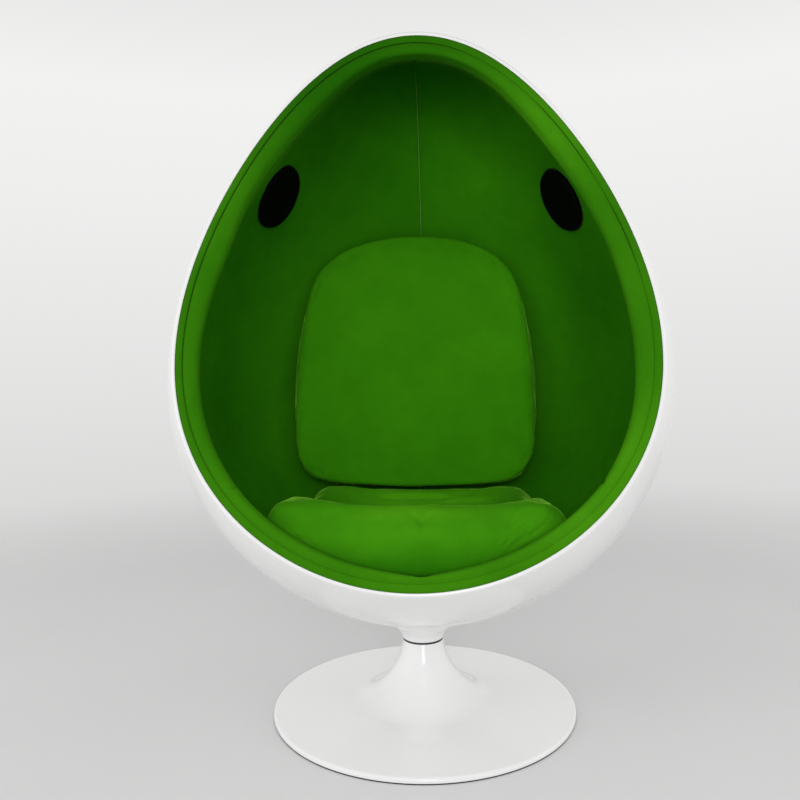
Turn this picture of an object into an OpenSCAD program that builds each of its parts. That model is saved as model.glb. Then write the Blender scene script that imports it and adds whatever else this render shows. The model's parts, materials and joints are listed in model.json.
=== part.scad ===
// Pod chair: a tilted egg-shaped shell, lined and padded inside, with two
// built-in speakers and a control panel, turning on a trumpet pedestal.
// Origin: on the floor, on the swivel axis. +Z up, the opening faces -Y.

/* [Egg shell] */
// Half of the egg's length along its own axis
egg_half = 578; // [560:1:590]
// Radius factor of the egg at its middle
egg_width = 461; // [450:1:470]
// First shape term: how much narrower the top is than the bottom
egg_k1 = -0.245; // [-0.26:0.005:-0.22]
// Second shape term: flatness of the middle
egg_k2 = -0.041; // [-0.05:0.001:-0.03]
// Third shape term: bluntness of the two ends
egg_k3 = 0.08; // [0.07:0.005:0.09]
// Backward lean of the egg's axis, in degrees
lean = 10; // [9:0.5:11]
// Distance of the egg's centre behind the swivel axis
centre_y = 54; // [50:1:58]
// Height of the egg's centre above the floor
centre_z = 742; // [740:1:750]
// Distance of the cut opening from the egg's centre
opening_d = 222; // [215:1:230]
// Extra backward tilt of the opening against the egg's axis, in degrees
opening_tilt = 5.6; // [5:0.1:6.2]
// Wall thickness of the moulded shell
shell_t = 5; // [4:0.5:5]

/* [Lining and padding] */
// Foam thickness inside the shell
foam_t = 35; // [35:1:36]
// Velvet thickness
velvet_t = 2; // [1.5:0.5:2]
// Width of the outer rim band, from the shell to the seam
band_w = 11; // [9:1:13]
// Depth of the padded rim behind the opening
rim_depth = 40; // [38:1:44]
// How far the padded rim stands out of the opening
rim_proud = 6; // [4:1:8]
// Extra thickness of the padded rim's roll beside and above the seat
roll_extra = 9; // [0:1:9]
// Thickness of the seat cushion
seat_t = 103; // [95:1:105]
// Thickness of the back cushion
back_t = 90; // [80:1:95]
// Sideways place of the back cushion
back_x = -18; // [-20:1:0]

/* [Speakers] */
// Angle of the left speaker behind the egg's widest side line, in degrees
speaker_az_left = 8; // [7.5:0.25:8.5]
// Place of the left speaker along the egg's profile, in degrees from the bottom
speaker_a_left = 123; // [122.5:0.25:123.5]
// Angle of the right speaker behind the egg's widest side line, in degrees
speaker_az_right = 11.25; // [10.75:0.25:11.75]
// Place of the right speaker along the egg's profile, in degrees from the bottom
speaker_a_right = 120.75; // [120.25:0.25:121.25]
// Radius of the speaker grille
grille_r = 67; // [66:0.5:67]

/* [Control panel] */
// Angle of the control panel before the egg's widest side line, in degrees
panel_az = 4.5; // [4:0.5:5]
// Place of the control panel along the egg's profile, in degrees from the bottom
panel_a = 86.25; // [86:0.25:86.5]
// Turn of the control panel on the wall, its top end forwards, in degrees
panel_turn = 24; // [20:1:28]
// Radius of the control panel's two round ends
panel_r = 42; // [41:0.5:43]
// Distance of those ends from the panel's middle
panel_end = 11; // [9:1:12]

/* [Pedestal] */
// Radius of the pedestal foot
foot_r = 290; // [285:1:295]
// Height of the pedestal's top, under the swivel washer
neck_z = 131.5; // [131:0.5:132]
// Radius of the pedestal's neck at its top
neck_r = 39; // [38.5:0.5:40]
// Wall thickness of the pedestal
pedestal_t = 4; // [3.5:0.5:4]
// Radius of the steel spindle
spindle_r = 20; // [19:0.5:20]
// Radial running clearance of the spindle in its bushes
run = 0.05; // [0.03:0.01:0.08]

/* [Hidden] */
$fn = 96;

white = "white";
velvet_green = [0.13, 0.42, 0.03];
seam_green = [0.10, 0.34, 0.03];
plastic_black = [0.05, 0.05, 0.05];
steel = [0.6, 0.6, 0.62];

gap = 0.3;                       // space between soft parts and their neighbours
t_foam = shell_t + foam_t;       // depth from the outer surface to the foam's face
t_in = t_foam + velvet_t;        // depth to the velvet's face
band_t = shell_t + band_w;       // depth to the rim seam
washer_t = 2.8;                  // swivel washer
collar_z = neck_z + washer_t + 0.2;
bolt_pcr = 36;                   // radius of the shell bolts' circle
board_z = 187;                   // top of the plywood board in the shell

// ---- the egg ------------------------------------------------------------
// one profile point for angle a: 0 at the bottom, 180 at the top
function raw(a) = let (u = -cos(a)) [egg_width*sin(a)*(1 + egg_k1*u + egg_k2*u*u + egg_k3*u*u*u), egg_half*u];
function egg_n(a) = let (d = raw(a + 0.5) - raw(a - 0.5)) [d[1], -d[0]]/norm(d);
function egg_pt(a, t) = let (p = raw(a) - t*egg_n(a)) [max(0, p[0]), p[1]];

module egg_solid(t) {
    step = 3;
    rotate_extrude($fn = 180)
        polygon([for (a = [0:step:180]) egg_pt(a, t)]);
}
module pod() { translate([0, centre_y, centre_z]) rotate([-lean, 0, 0]) children(); }
// everything between y0 and y1 behind the opening plane
module behind_opening(y0, y1) {
    rotate([-opening_tilt, 0, 0]) translate([-700, -opening_d + y0, -800]) cube([1400, y1 - y0, 1600]);
}
// local frame on the inner wall: +Z points into the cabin, the origin lies on the velvet
module on_wall(az, a) {
    p = egg_pt(a, t_in); n = egg_n(a);
    rotate([0, 0, az]) translate([p[0], 0, p[1]]) rotate([0, atan2(-n[0], -n[1]), 0]) children();
}
module speaker_place(side) {
    pod() on_wall(side < 0 ? 180 - speaker_az_left : speaker_az_right, side < 0 ? speaker_a_left : speaker_a_right) children();
}
module panel_place() { pod() on_wall(-panel_az, panel_a) translate([0, 0, 0.8]) rotate([0, 0, -panel_turn]) children(); }
module disc(r, z0, z1) { translate([0, 0, z0]) cylinder(r = r, h = z1 - z0); }
module pipe(r0, r1, z0, z1) { difference() { disc(r1, z0, z1); disc(r0, z0 - 1, z1 + 1); } }
module around(n, r, a0 = 0) { for (i = [0:n - 1]) rotate([0, 0, a0 + i*360/n]) translate([r, 0, 0]) children(); }

// ---- pedestal -----------------------------------------------------------
function bez(p, t) = pow(1 - t, 3)*p[0] + 3*pow(1 - t, 2)*t*p[1] + 3*(1 - t)*t*t*p[2] + t*t*t*p[3];
function bez_d(p, t) = 3*pow(1 - t, 2)*(p[1] - p[0]) + 6*(1 - t)*t*(p[2] - p[1]) + 3*t*t*(p[3] - p[2]);
flare = [[neck_r, neck_z], [45, 80], [97, 24.6], [125, 22.5]];
edge_top = 10.5;
foot_in = foot_r - 12;
function flare_in(t) = let (d = bez_d(flare, t), n = [-d[1], d[0]]/norm(d)) bez(flare, t) - pedestal_t*n;
module pedestal_profile() {
    slope = (edge_top - flare[3][1])/(foot_r - 4 - flare[3][0]);
    polygon(concat(
        [[neck_r - pedestal_t, neck_z], [neck_r - 0.6, neck_z]],
        [for (i = [1:24]) bez(flare, i/24)],
        [[foot_r - 4, edge_top], [foot_r - 1.2, edge_top - 1.2], [foot_r, edge_top - 3.6], [foot_r, 4], [foot_in, 4],
         [foot_in, flare[3][1] + slope*(foot_in - flare[3][0]) - pedestal_t]],
        [for (i = [24:-1:1]) flare_in(i/24)]));
}
module pedestal() color(white) difference() {
    union() {
        rotate_extrude($fn = 180) pedestal_profile();
        around(6, 150) disc(8, 12, 17.8);
    }
    around(6, 150) disc(2.5, 11, 17.2);
}
module edge_gasket() color(plastic_black) pipe(foot_in - 2, foot_r - 0.8, 0, 4);
module ballast_plate() color(steel) difference() {
    disc(200, 4, 12);
    disc(16, 3, 13);
    around(6, 150) disc(3, 3, 13);
    around(4, 52, 45) disc(4.4, 3, 13);
}
module ballast_screws() color(steel) around(6, 150) { disc(5, 1.2, 4); disc(2.5, 4, 16.5); }
module column() color(steel) difference() {
    union() { disc(72, 12, 18); disc(30, 12, 127.5); }
    disc(26, 11, 128);
    around(4, 52, 45) disc(4, 11, 19);
}
module column_bolts() color(steel) around(4, 52, 45) { disc(6.8, 1.2, 4); disc(4, 4, 17.5); }
module thrust_plate() color(steel) pipe(spindle_r + 0.5, neck_r - pedestal_t - 0.2, 127.5, neck_z);
module thrust_washer() color(plastic_black) pipe(spindle_r + 0.6, neck_r - 0.5, neck_z, neck_z + washer_t);
module upper_bush() color([0.9, 0.9, 0.86]) pipe(spindle_r + run, 26, 99.5, 127.5);
module lower_bush() color([0.9, 0.9, 0.86]) pipe(spindle_r + run, 26, 30, 55);

// ---- swivel and shell ---------------------------------------------------
collar_side = [[neck_r, collar_z], [neck_r + 1, collar_z + 9], [neck_r + 7, collar_z + 17.5], [neck_r + 19, collar_z + 28]];
module shell_collar() color(white) difference() {
    rotate_extrude($fn = 180)
        polygon(concat([[0, collar_z], [neck_r - 0.6, collar_z]], [for (i = [1:16]) bez(collar_side, i/16)], [[neck_r + 27, collar_z + 43], [0, collar_z + 43]]));
    disc(spindle_r, collar_z - 1, 160);
    around(4, bolt_pcr, 45) disc(4, 150, 200);
    pod() egg_solid(0);
}
module spindle() color(steel) difference() {
    disc(spindle_r, 27.5, 160);
    disc(4, 27, 50);
}
module retaining_washer() color(steel) pipe(4.2, 24, 24.5, 27.5);
module retaining_bolt() color(steel) { translate([0, 0, 19]) cylinder(r = 7.5, h = 5.5, $fn = 6); disc(4, 24.5, 49.5); }
module shell() color(white) difference() {
    pod() difference() {
        egg_solid(0);
        egg_solid(shell_t);
        behind_opening(-900, 0);
    }
    around(4, bolt_pcr, 45) disc(4.5, 140, 200);
}
module seat_board() color([0.78, 0.62, 0.42]) difference() {
    intersection() { disc(105, 150, board_z); pod() egg_solid(shell_t); }
    around(4, bolt_pcr, 45) disc(4.5, 140, 200);
}
module mount_bolts() color(steel) around(4, bolt_pcr, 45) {
    disc(4, 151, board_z);
    disc(8, board_z, board_z + 1.6);
    translate([0, 0, board_z + 1.6]) cylinder(r = 7.4, h = 5.3, $fn = 6);
}

// ---- lining and rim -----------------------------------------------------
module wall_layer(t0, t1) { difference() { egg_solid(t0); egg_solid(t1); behind_opening(-900, rim_depth); } }
module wall_holes() {
    for (s = [-1, 1]) speaker_place(s) disc(70, -70, 30);
    panel_place() disc(39, -70, 25);
}
module lining_foam() color([0.92, 0.88, 0.7]) difference() {
    pod() wall_layer(shell_t, t_foam);
    wall_holes();
    disc(105.5, 140, board_z + 0.2);
    around(4, bolt_pcr, 45) disc(9, 150, board_z + 8);
}
module lining_half(side) difference() {
    pod() intersection() {
        wall_layer(t_foam, t_in);
        translate([side < 0 ? -700 : 0, -700, -800]) cube([700, 1400, 1600]);
    }
    wall_holes();
}
module lining_left() color(velvet_green) lining_half(-1);
module lining_right() color(velvet_green) lining_half(1);
module rim_layer(t0, t1, proud) { intersection() { difference() { egg_solid(t0); egg_solid(t1); } behind_opening(-proud, rim_depth); } }
module rim_edge_band() color(seam_green) pod() rim_layer(shell_t, band_t, 2);
// the roll grows thicker from the seat's height upwards
function ease(t) = let (c = max(0, min(1, t))) c*c*(3 - 2*c);
module roll_core() { rotate_extrude($fn = 180) polygon([for (a = [0:3:180]) egg_pt(a, t_in + roll_extra*ease((a - 60)/40))]); }
module rim_roll() color(velvet_green) pod()
    intersection() { difference() { egg_solid(band_t); roll_core(); } behind_opening(-rim_proud, rim_depth); }

// ---- cushions -----------------------------------------------------------
module seat_outline() hull() {
    for (s = [-1, 1]) { translate([s*190, -205]) circle(r = 60, $fn = 32); translate([s*130, 170]) circle(r = 130, $fn = 48); }
}
module seat_cushion() color(velvet_green) difference() {
    intersection() {
        translate([0, 0, 150]) linear_extrude(height = 295) seat_outline();
        pod() difference() { egg_solid(t_in + gap); egg_solid(t_in + gap + seat_t); behind_opening(-900, 20); }
    }
    translate([-400, 195, 384]) cube([800, 300, 300]);
    translate([-400, -260, 447]) rotate([-7, 0, 0]) cube([800, 700, 300]);
}
module back_outline() hull() {
    for (s = [-1, 1]) {
        translate([s*48, 142]) circle(r = 134, $fn = 48);
        translate([s*110, 109]) circle(r = 138, $fn = 48);
        translate([s*101, -60]) circle(r = 170, $fn = 48);
        translate([s*198, -243]) circle(r = 70, $fn = 32);
    }
}
back_bend = 1200;                // the cushion's face is bent to this radius
back_face = 238;                 // depth of the face's middle behind the egg's axis
module back_cushion() color(velvet_green) difference() {
    pod() intersection() {
        translate([back_x, 400, 0]) rotate([90, 0, 0]) linear_extrude(height = 300) back_outline();
        translate([back_x, back_face - back_bend, -400]) difference() {
            cylinder(r = back_bend + back_t, h = 800, $fn = 360);
            translate([0, 0, -1]) cylinder(r = back_bend, h = 802, $fn = 360);
        }
        egg_solid(t_in + gap);
    }
    translate([-400, 0, 86]) cube([800, 600, 300.3]);
}

// ---- speakers -----------------------------------------------------------
module speaker_ring(s) color(plastic_black) speaker_place(s) difference() {
    pipe(56, 69.5, -12, 5);
    around(4, 60, 45) disc(1.6, -9, 6);
}
module speaker_basket(s) color(plastic_black) speaker_place(s) difference() {
    rotate_extrude() polygon([[67, 5], [67, 6.5], [54, 6.5], [52.8, 5.2], [35, -19.5], [16, -19.5], [16, -21], [36, -21], [54, 4], [55, 5]]);
    around(4, 60, 45) disc(2, 3, 8);
    around(4, 0) translate([0, -11, -16.5]) cube([70, 22, 17]);
}
module speaker_magnet(s) color([0.2, 0.2, 0.22]) speaker_place(s) {
    pipe(13.5, 34, -31, -21);
    disc(13.5, -31, -16);
}
module speaker_cone(s) color([0.08, 0.08, 0.09]) speaker_place(s)
    rotate_extrude() polygon([[0, -11], [8, -12], [14, -15], [15, -18.5], [16, -18.5], [15.5, -14.5], [48, 2.6], [50, 4.6], [52, 4.6], [53.2, 6.5],
        [56.4, 6.5], [56.4, 7.5], [52.7, 7.5], [51.6, 5.8], [49.6, 5.8], [47.4, 3.8], [14.6, -13.4], [8, -10.6], [0, -9.6]]);
module speaker_grille(s) color(plastic_black) speaker_place(s)
    rotate_extrude() polygon([[grille_r - 2.6, 6.6], [grille_r, 6.6], [grille_r, 9.4], [grille_r - 2, 11.2], [grille_r - 12, 12.6], [grille_r - 34, 13.8], [0, 14.6],
        [0, 13.4], [grille_r - 34, 12.6], [grille_r - 12, 11.4], [grille_r - 2.6, 9.8]]);
module speaker_ring_left() speaker_ring(-1);
module speaker_basket_left() speaker_basket(-1);
module speaker_magnet_left() speaker_magnet(-1);
module speaker_cone_left() speaker_cone(-1);
module speaker_grille_left() speaker_grille(-1);
module speaker_ring_right() speaker_ring(1);
module speaker_basket_right() speaker_basket(1);
module speaker_magnet_right() speaker_magnet(1);
module speaker_cone_right() speaker_cone(1);
module speaker_grille_right() speaker_grille(1);
module speaker_screws() color(steel) for (s = [-1, 1]) speaker_place(s) around(4, 60, 45) { disc(3.2, 6.5, 8.4); disc(1.6, -8, 6.5); }

// ---- speaker leads, laid between the shell and the foam ------------------
lead_r = 2;
// hand-chosen stations: [angle round the egg's axis, profile angle from the bottom, depth below the outer surface]
lead_right_pts = [[11.2, 117.1, 15], [11.2, 114.3, 14], [10.2, 110.7, 10.5], [9, 107.2, 9], [5.5, 102.4, 9], [1, 97, 9], [-3, 92.2, 10], [-4.5, 90.05, 13]];
lead_left_pts = [[172, 119.4, 15], [172, 116.6, 14], [171, 113, 10.5], [168.5, 108.5, 9], [159, 98, 9], [146, 86, 9], [128, 76, 9], [105, 71, 9],
                 [80, 70, 9], [55, 72, 9], [32, 74.5, 9], [11, 77.7, 9], [-1.5, 79.9, 10], [-4.5, 81.3, 12], [-4.5, 82.4, 13]];
function wall_xyz(q) = let (p = egg_pt(q[1], q[2])) [p[0]*cos(q[0]), p[0]*sin(q[0]), p[1]];
function cat(a, b, c, d, t) = 0.5*((2*b) + (c - a)*t + (2*a - 5*b + 4*c - d)*t*t + (3*b - a - 3*c + d)*t*t*t);
function route(P, n) = concat([for (i = [0:len(P) - 2], j = [0:n - 1])
    wall_xyz(cat(P[max(i - 1, 0)], P[i], P[i + 1], P[min(i + 2, len(P) - 1)], j/n))], [wall_xyz(P[len(P) - 1])]);
module tube(path, r, sides) {
    m = len(path);
    pts = [for (i = [0:m - 1]) let (d = path[min(i + 1, m - 1)] - path[max(i - 1, 0)], w = d/norm(d),
        u0 = cross(w, [0, 0, 1]), u = u0/norm(u0), v = cross(w, u))
        for (k = [0:sides - 1]) path[i] + r*(cos(360*k/sides)*u + sin(360*k/sides)*v)];
    faces = concat([[for (k = [0:sides - 1]) k]], [[for (k = [sides - 1:-1:0]) (m - 1)*sides + k]],
        [for (i = [0:m - 2], k = [0:sides - 1]) let (a = i*sides + k, b = i*sides + (k + 1)%sides) [a, a + sides, b + sides, b]]);
    polyhedron(points = pts, faces = faces);
}
module speaker_lead_left() color(plastic_black) pod() tube(route(lead_left_pts, 5), lead_r, 8);
module speaker_lead_right() color(plastic_black) pod() tube(route(lead_right_pts, 5), lead_r, 8);

// ---- amplifier and control panel ----------------------------------------
knob_at = [-10, -15];
button_at = [14, 12];
audio_at = [-4, 20];
inlet_at = [16, -12];
module at(p) { translate([p[0], p[1], 0]) children(); }
module amplifier_housing() color(plastic_black) panel_place() difference() {
    union() {
        difference() { disc(38, -33, 2.4); disc(36, -31, 3); }
        around(4, 0, 45) translate([29.5, -3, -32]) cube([7.5, 6, 34.4]);
    }
    around(4, 33, 45) disc(1.2, -9, 3);
}
module amplifier_board() color([0.05, 0.3, 0.12]) panel_place() {
    disc(29, -24, -22.4);
    translate([2, -20, -22.4]) cube([20, 14, 8]);
    translate([-22, -10, -22.4]) cube([12, 20, 5]);
    at([12, 14]) disc(4, -22.4, -11);
}
module control_panel() color(plastic_black) panel_place() difference() {
    hull() for (s = [-1, 1]) translate([s*panel_end, 0, 0]) { disc(panel_r, 2.5, 4.5); disc(panel_r - 1, 2.5, 5.5); }
    at(knob_at) disc(3.6, 0, 8);
    at(button_at) disc(6.1, 0, 8);
    at(audio_at) disc(4.1, 0, 8);
    at(inlet_at) disc(5.6, 0, 8);
    around(4, 33, 45) disc(1.5, 0, 8);
}
module panel_screws() color(steel) panel_place() around(4, 33, 45) { disc(2.8, 5.5, 7); disc(1.2, -8, 5.5); }
module volume_pot() color(steel) panel_place() at(knob_at) difference() { disc(8, -8, 2.5); disc(3 + run, -5, 3); }
module power_switch() color(plastic_black) panel_place() at(button_at) difference() {
    translate([-6, -6, -8]) cube([12, 12, 10.5]);
    disc(4.1, -5, 3);
}
module audio_socket() color(steel) panel_place() at(audio_at) difference() {
    union() { disc(4, -12, 6.4); disc(5.4, 5.5, 7); }
    disc(1.8, -10, 8);
}
module power_inlet() color(plastic_black) panel_place() at(inlet_at) {
    difference() { union() { disc(5.5, -12, 5.5); disc(7, 5.5, 6.8); } disc(2.9, -10, 8); }
    disc(1.05, -10, 4);
}
module volume_knob() color([0.12, 0.12, 0.13]) panel_place() at(knob_at) difference() {
    rotate_extrude() polygon([[0, 6.6], [10.6, 6.6], [11, 7.1], [10.6, 14.2], [9.8, 15], [0, 15]]);
    disc(3, 6, 13);
    translate([4, -0.6, 14.3]) cube([8, 1.2, 2]);
}
module knob_shaft() color(steel) panel_place() at(knob_at) disc(3, -4.6, 13);
module power_button() color([0.7, 0.1, 0.08]) panel_place() at(button_at) { disc(6, 4.2, 8.4); disc(4, -2.8, 4.2); }

pedestal();
edge_gasket();
ballast_plate();
ballast_screws();
column();
column_bolts();
thrust_plate();
thrust_washer();
upper_bush();
lower_bush();
shell();
shell_collar();
spindle();
retaining_washer();
retaining_bolt();
seat_board();
mount_bolts();
lining_foam();
lining_left();
lining_right();
rim_edge_band();
rim_roll();
seat_cushion();
back_cushion();
speaker_ring_left();
speaker_basket_left();
speaker_magnet_left();
speaker_cone_left();
speaker_grille_left();
speaker_ring_right();
speaker_basket_right();
speaker_magnet_right();
speaker_cone_right();
speaker_grille_right();
speaker_screws();
speaker_lead_left();
speaker_lead_right();
amplifier_housing();
amplifier_board();
control_panel();
panel_screws();
volume_pot();
power_switch();
audio_socket();
power_inlet();
volume_knob();
knob_shaft();
power_button();
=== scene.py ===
"""Looks of the pod chair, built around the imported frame. Metres, +Z up, the opening faces -Y."""

import math

import bmesh
import bpy
import numpy as np
from mathutils import Matrix, Vector
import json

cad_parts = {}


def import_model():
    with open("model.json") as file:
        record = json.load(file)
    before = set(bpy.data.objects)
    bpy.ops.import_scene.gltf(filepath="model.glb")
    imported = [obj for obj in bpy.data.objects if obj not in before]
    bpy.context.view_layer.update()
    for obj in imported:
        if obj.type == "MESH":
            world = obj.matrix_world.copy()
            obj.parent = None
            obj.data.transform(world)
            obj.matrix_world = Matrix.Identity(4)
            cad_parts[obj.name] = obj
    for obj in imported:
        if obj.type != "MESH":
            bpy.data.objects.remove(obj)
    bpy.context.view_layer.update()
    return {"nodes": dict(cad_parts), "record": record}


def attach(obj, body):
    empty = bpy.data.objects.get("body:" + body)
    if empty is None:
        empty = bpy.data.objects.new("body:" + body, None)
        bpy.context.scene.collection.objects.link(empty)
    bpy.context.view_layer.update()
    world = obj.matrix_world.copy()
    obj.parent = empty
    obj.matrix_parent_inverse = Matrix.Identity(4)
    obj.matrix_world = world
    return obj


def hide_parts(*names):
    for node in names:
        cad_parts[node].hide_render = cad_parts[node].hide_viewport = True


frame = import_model()
nodes = frame["nodes"]
scene = bpy.context.scene

# ---------------------------------------------------------------- the egg
EW, EH, K1, K2, K3 = 0.461, 0.578, -0.245, -0.041, 0.08
LEAN, TILT, CUT = math.radians(10.0), math.radians(5.6), 0.222
CENTRE = np.array([0.0, 0.054, 0.742])
SHELL_T, BAND_T, T_IN = 0.005, 0.016, 0.042
CL, SL = math.cos(LEAN), math.sin(LEAN)
N_OPEN = np.array([0.0, -math.cos(TILT), math.sin(TILT)])  # out of the opening
E_UP = np.array([0.0, math.sin(TILT), math.cos(TILT)])  # up along the opening
E_X = np.array([1.0, 0.0, 0.0])


def raw(a):
    u, s = -np.cos(a), np.sin(a)
    p = 1 + K1 * u + K2 * u**2 + K3 * u**3
    return EW * s * p, EH * u


def raw_d(a):
    u, s, c = -np.cos(a), np.sin(a), np.cos(a)
    p = 1 + K1 * u + K2 * u**2 + K3 * u**3
    pd = (K1 + 2 * K2 * u + 3 * K3 * u**2) * s
    pdd = (2 * K2 + 6 * K3 * u) * s * s + (K1 + 2 * K2 * u + 3 * K3 * u**2) * c
    return (EW * (c * p + s * pd), EH * s), (EW * (-s * p + 2 * c * pd + s * pdd), EH * c)


def depth_of(q):
    """Depth below the egg's outer surface and the profile angle there, for local points."""
    rho, z = np.hypot(q[..., 0], q[..., 1]), q[..., 2]
    a = np.arctan2(np.maximum(rho, 1e-9) / EW, -z / EH)
    for _ in range(9):
        r, zz = raw(a)
        (dr, dz), (ddr, ddz) = raw_d(a)
        g = (r - rho) * dr + (zz - z) * dz
        h = dr * dr + dz * dz + (r - rho) * ddr + (zz - z) * ddz
        a = np.clip(a - np.clip(g / np.maximum(h, 0.02), -0.15, 0.15), 0.0, math.pi)
    r, zz = raw(a)
    (dr, dz), _ = raw_d(a)
    n = np.hypot(dr, dz)
    return (r - rho) * dz / n - (zz - z) * dr / n, a


def at_depth(q, t):
    """Local points moved along the egg's normal to depth t."""
    _, a = depth_of(q)
    r, z = raw(a)
    (dr, dz), _ = raw_d(a)
    n = np.hypot(dr, dz)
    rho = np.maximum(np.hypot(q[..., 0], q[..., 1]), 1e-9)
    rr, zz = r - t * dz / n, z + t * dr / n
    return np.stack([q[..., 0] / rho * rr, q[..., 1] / rho * rr, zz], -1)


def behind(q):
    """Distance behind the opening plane."""
    return CUT - q @ N_OPEN


def world(q):
    q = np.asarray(q, float)
    return np.stack([q[..., 0], CENTRE[1] + q[..., 1] * CL + q[..., 2] * SL, CENTRE[2] - q[..., 1] * SL + q[..., 2] * CL], -1)


def local(p):
    p = np.asarray(p, float)
    y, z = p[..., 1] - CENTRE[1], p[..., 2] - CENTRE[2]
    return np.stack([p[..., 0], y * CL - z * SL, y * SL + z * CL], -1)


def along(o, d, t, lo=0.05, hi=0.74):
    """Point on the rays o + s d that lies at depth t."""
    a, b = np.full(d.shape[:-1], lo), np.full(d.shape[:-1], hi)
    fa, fb = depth_of(o + a[..., None] * d)[0] - t, depth_of(o + b[..., None] * d)[0] - t
    for _ in range(11):
        den = fb - fa
        c = np.where(np.abs(den) < 1e-14, b, b - fb * (b - a) / np.where(np.abs(den) < 1e-14, 1, den))
        fc = depth_of(o + c[..., None] * d)[0] - t
        cross = fc * fb < 0
        a, fa = np.where(cross, b, a), np.where(cross, fb, fa * 0.5)
        b, fb = c, fc
    return o + b[..., None] * d


def rim_point(phi, t, y):
    """Local point at angle phi round the opening, depth t, distance y behind the opening plane (arrays of one shape)."""
    phi, t, y = np.broadcast_arrays(phi, t, y)
    c = (CUT - y)[..., None] * N_OPEN
    return along(c, np.cos(phi)[..., None] * E_X + np.sin(phi)[..., None] * E_UP, t)


# ---------------------------------------------------------------- noise that doesn't change between runs
def value_noise(p):
    i = np.floor(p).astype(np.int64)
    f = p - i
    u = f * f * f * (f * (6 * f - 15) + 10)
    out = np.zeros(p.shape[:-1])
    for dx in (0, 1):
        for dy in (0, 1):
            for dz in (0, 1):
                h = (i[..., 0] + dx) * 73856093 ^ (i[..., 1] + dy) * 19349663 ^ (i[..., 2] + dz) * 83492791
                h = ((h ^ (h >> 13)) * 1274126177) & 0x7FFFFFFF
                h = ((h ^ (h >> 15)) * 668265263) & 0x7FFFFFFF
                w = np.where(dx, u[..., 0], 1 - u[..., 0]) * np.where(dy, u[..., 1], 1 - u[..., 1]) * np.where(dz, u[..., 2], 1 - u[..., 2])
                out += w * (h / 0x3FFFFFFF - 1.0)
    return out


def fbm(p, scale, seed=0.0, octaves=3):
    """Smooth noise, about -1 to 1, at points p (..., 3)."""
    q = np.asarray(p, float) * scale + np.array([seed * 7.31, seed * 3.17, seed * 5.71])
    s, amp = np.zeros(q.shape[:-1]), 1.0
    for _ in range(octaves):
        s += amp * value_noise(q)
        q, amp = q * 2.03 + 11.7, amp * 0.5
    return s


def bump(d, w):
    return np.exp(-((d / w) ** 2))


def smooth01(x):
    x = np.clip(x, 0, 1)
    return x * x * (3 - 2 * x)


# ---------------------------------------------------------------- mesh helpers
def make(name, verts, faces, smooth=True):
    me = bpy.data.meshes.new(name)
    me.from_pydata(np.asarray(verts, float).tolist(), [], [list(map(int, f)) for f in faces])
    me.update()
    ob = bpy.data.objects.new(name, me)
    scene.collection.objects.link(ob)
    if smooth:
        me.polygons.foreach_set("use_smooth", [True] * len(me.polygons))
    return ob


def fix_normals(ob):
    bm = bmesh.new()
    bm.from_mesh(ob.data)
    bmesh.ops.recalc_face_normals(bm, faces=bm.faces)
    bm.to_mesh(ob.data)
    bm.free()
    return ob


def ring_faces(m, n, wrap=True, base=0):
    """Quads of m rings with n points each."""
    f = []
    for i in range(m - 1):
        for j in range(n if wrap else n - 1):
            k = (j + 1) % n
            f.append((base + i * n + j, base + i * n + k, base + (i + 1) * n + k, base + (i + 1) * n + j))
    return f


def revolve(name, profile, steps=192, close=False):
    """Turns a profile [(r, z)] in metres round the Z axis. A point with r = 0 becomes one vertex."""
    prof = np.array(profile, float)
    ang = np.linspace(0, 2 * math.pi, steps, endpoint=False)
    verts, start = [], []
    for r, z in prof:
        start.append(len(verts))
        if r < 1e-7:
            verts.append((0, 0, z))
        else:
            verts += [(r * math.cos(t), r * math.sin(t), z) for t in ang]
    faces, m = [], len(prof)
    for i in range(m if close else m - 1):
        a, b = start[i], start[(i + 1) % m]
        one_a, one_b = prof[i][0] < 1e-7, prof[(i + 1) % m][0] < 1e-7
        if one_a and one_b:
            continue
        for j in range(steps):
            k = (j + 1) % steps
            if one_a:
                faces.append((a, b + k, b + j))
            elif one_b:
                faces.append((a + j, a + k, b))
            else:
                faces.append((a + j, a + k, b + k, b + j))
    return fix_normals(make(name, verts, faces))


def arc(cx, cz, r, a0, a1, n=6):
    """Profile points along an arc, angles in degrees."""
    return [(cx + r * math.cos(math.radians(a0 + (a1 - a0) * i / n)), cz + r * math.sin(math.radians(a0 + (a1 - a0) * i / n))) for i in range(n + 1)]


def sharp(ob, degrees=35):
    """Keeps hard edges hard and the rest smooth."""
    me = ob.data
    bm = bmesh.new()
    bm.from_mesh(me)
    lim = math.radians(degrees)
    for e in bm.edges:
        e.smooth = not (len(e.link_faces) == 2 and e.calc_face_angle(0) > lim)
    bm.to_mesh(me)
    bm.free()
    return ob


# ---------------------------------------------------------------- materials
def material(name, color, rough=0.5, metallic=0.0, **sockets):
    m = bpy.data.materials.new(name)
    m.use_nodes = True
    nt = m.node_tree
    b = nt.nodes["Principled BSDF"]
    b.inputs["Base Color"].default_value = (*color, 1)
    b.inputs["Roughness"].default_value = rough
    b.inputs["Metallic"].default_value = metallic
    for k, v in sockets.items():
        b.inputs[k.replace("_", " ")].default_value = v
    return m, nt, b


def node(nt, kind, **values):
    n = nt.nodes.new(kind)
    for k, v in values.items():
        if hasattr(n, k):
            setattr(n, k, v)
        else:
            n.inputs[k.replace("_", " ")].default_value = v
    return n


def noise_node(nt, coord, scale, detail=3.0, rough=0.5):
    n = node(nt, "ShaderNodeTexNoise")
    n.inputs["Scale"].default_value = scale
    n.inputs["Detail"].default_value = detail
    n.inputs["Roughness"].default_value = rough
    nt.links.new(coord, n.inputs["Vector"])
    return n.outputs["Fac"]


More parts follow.
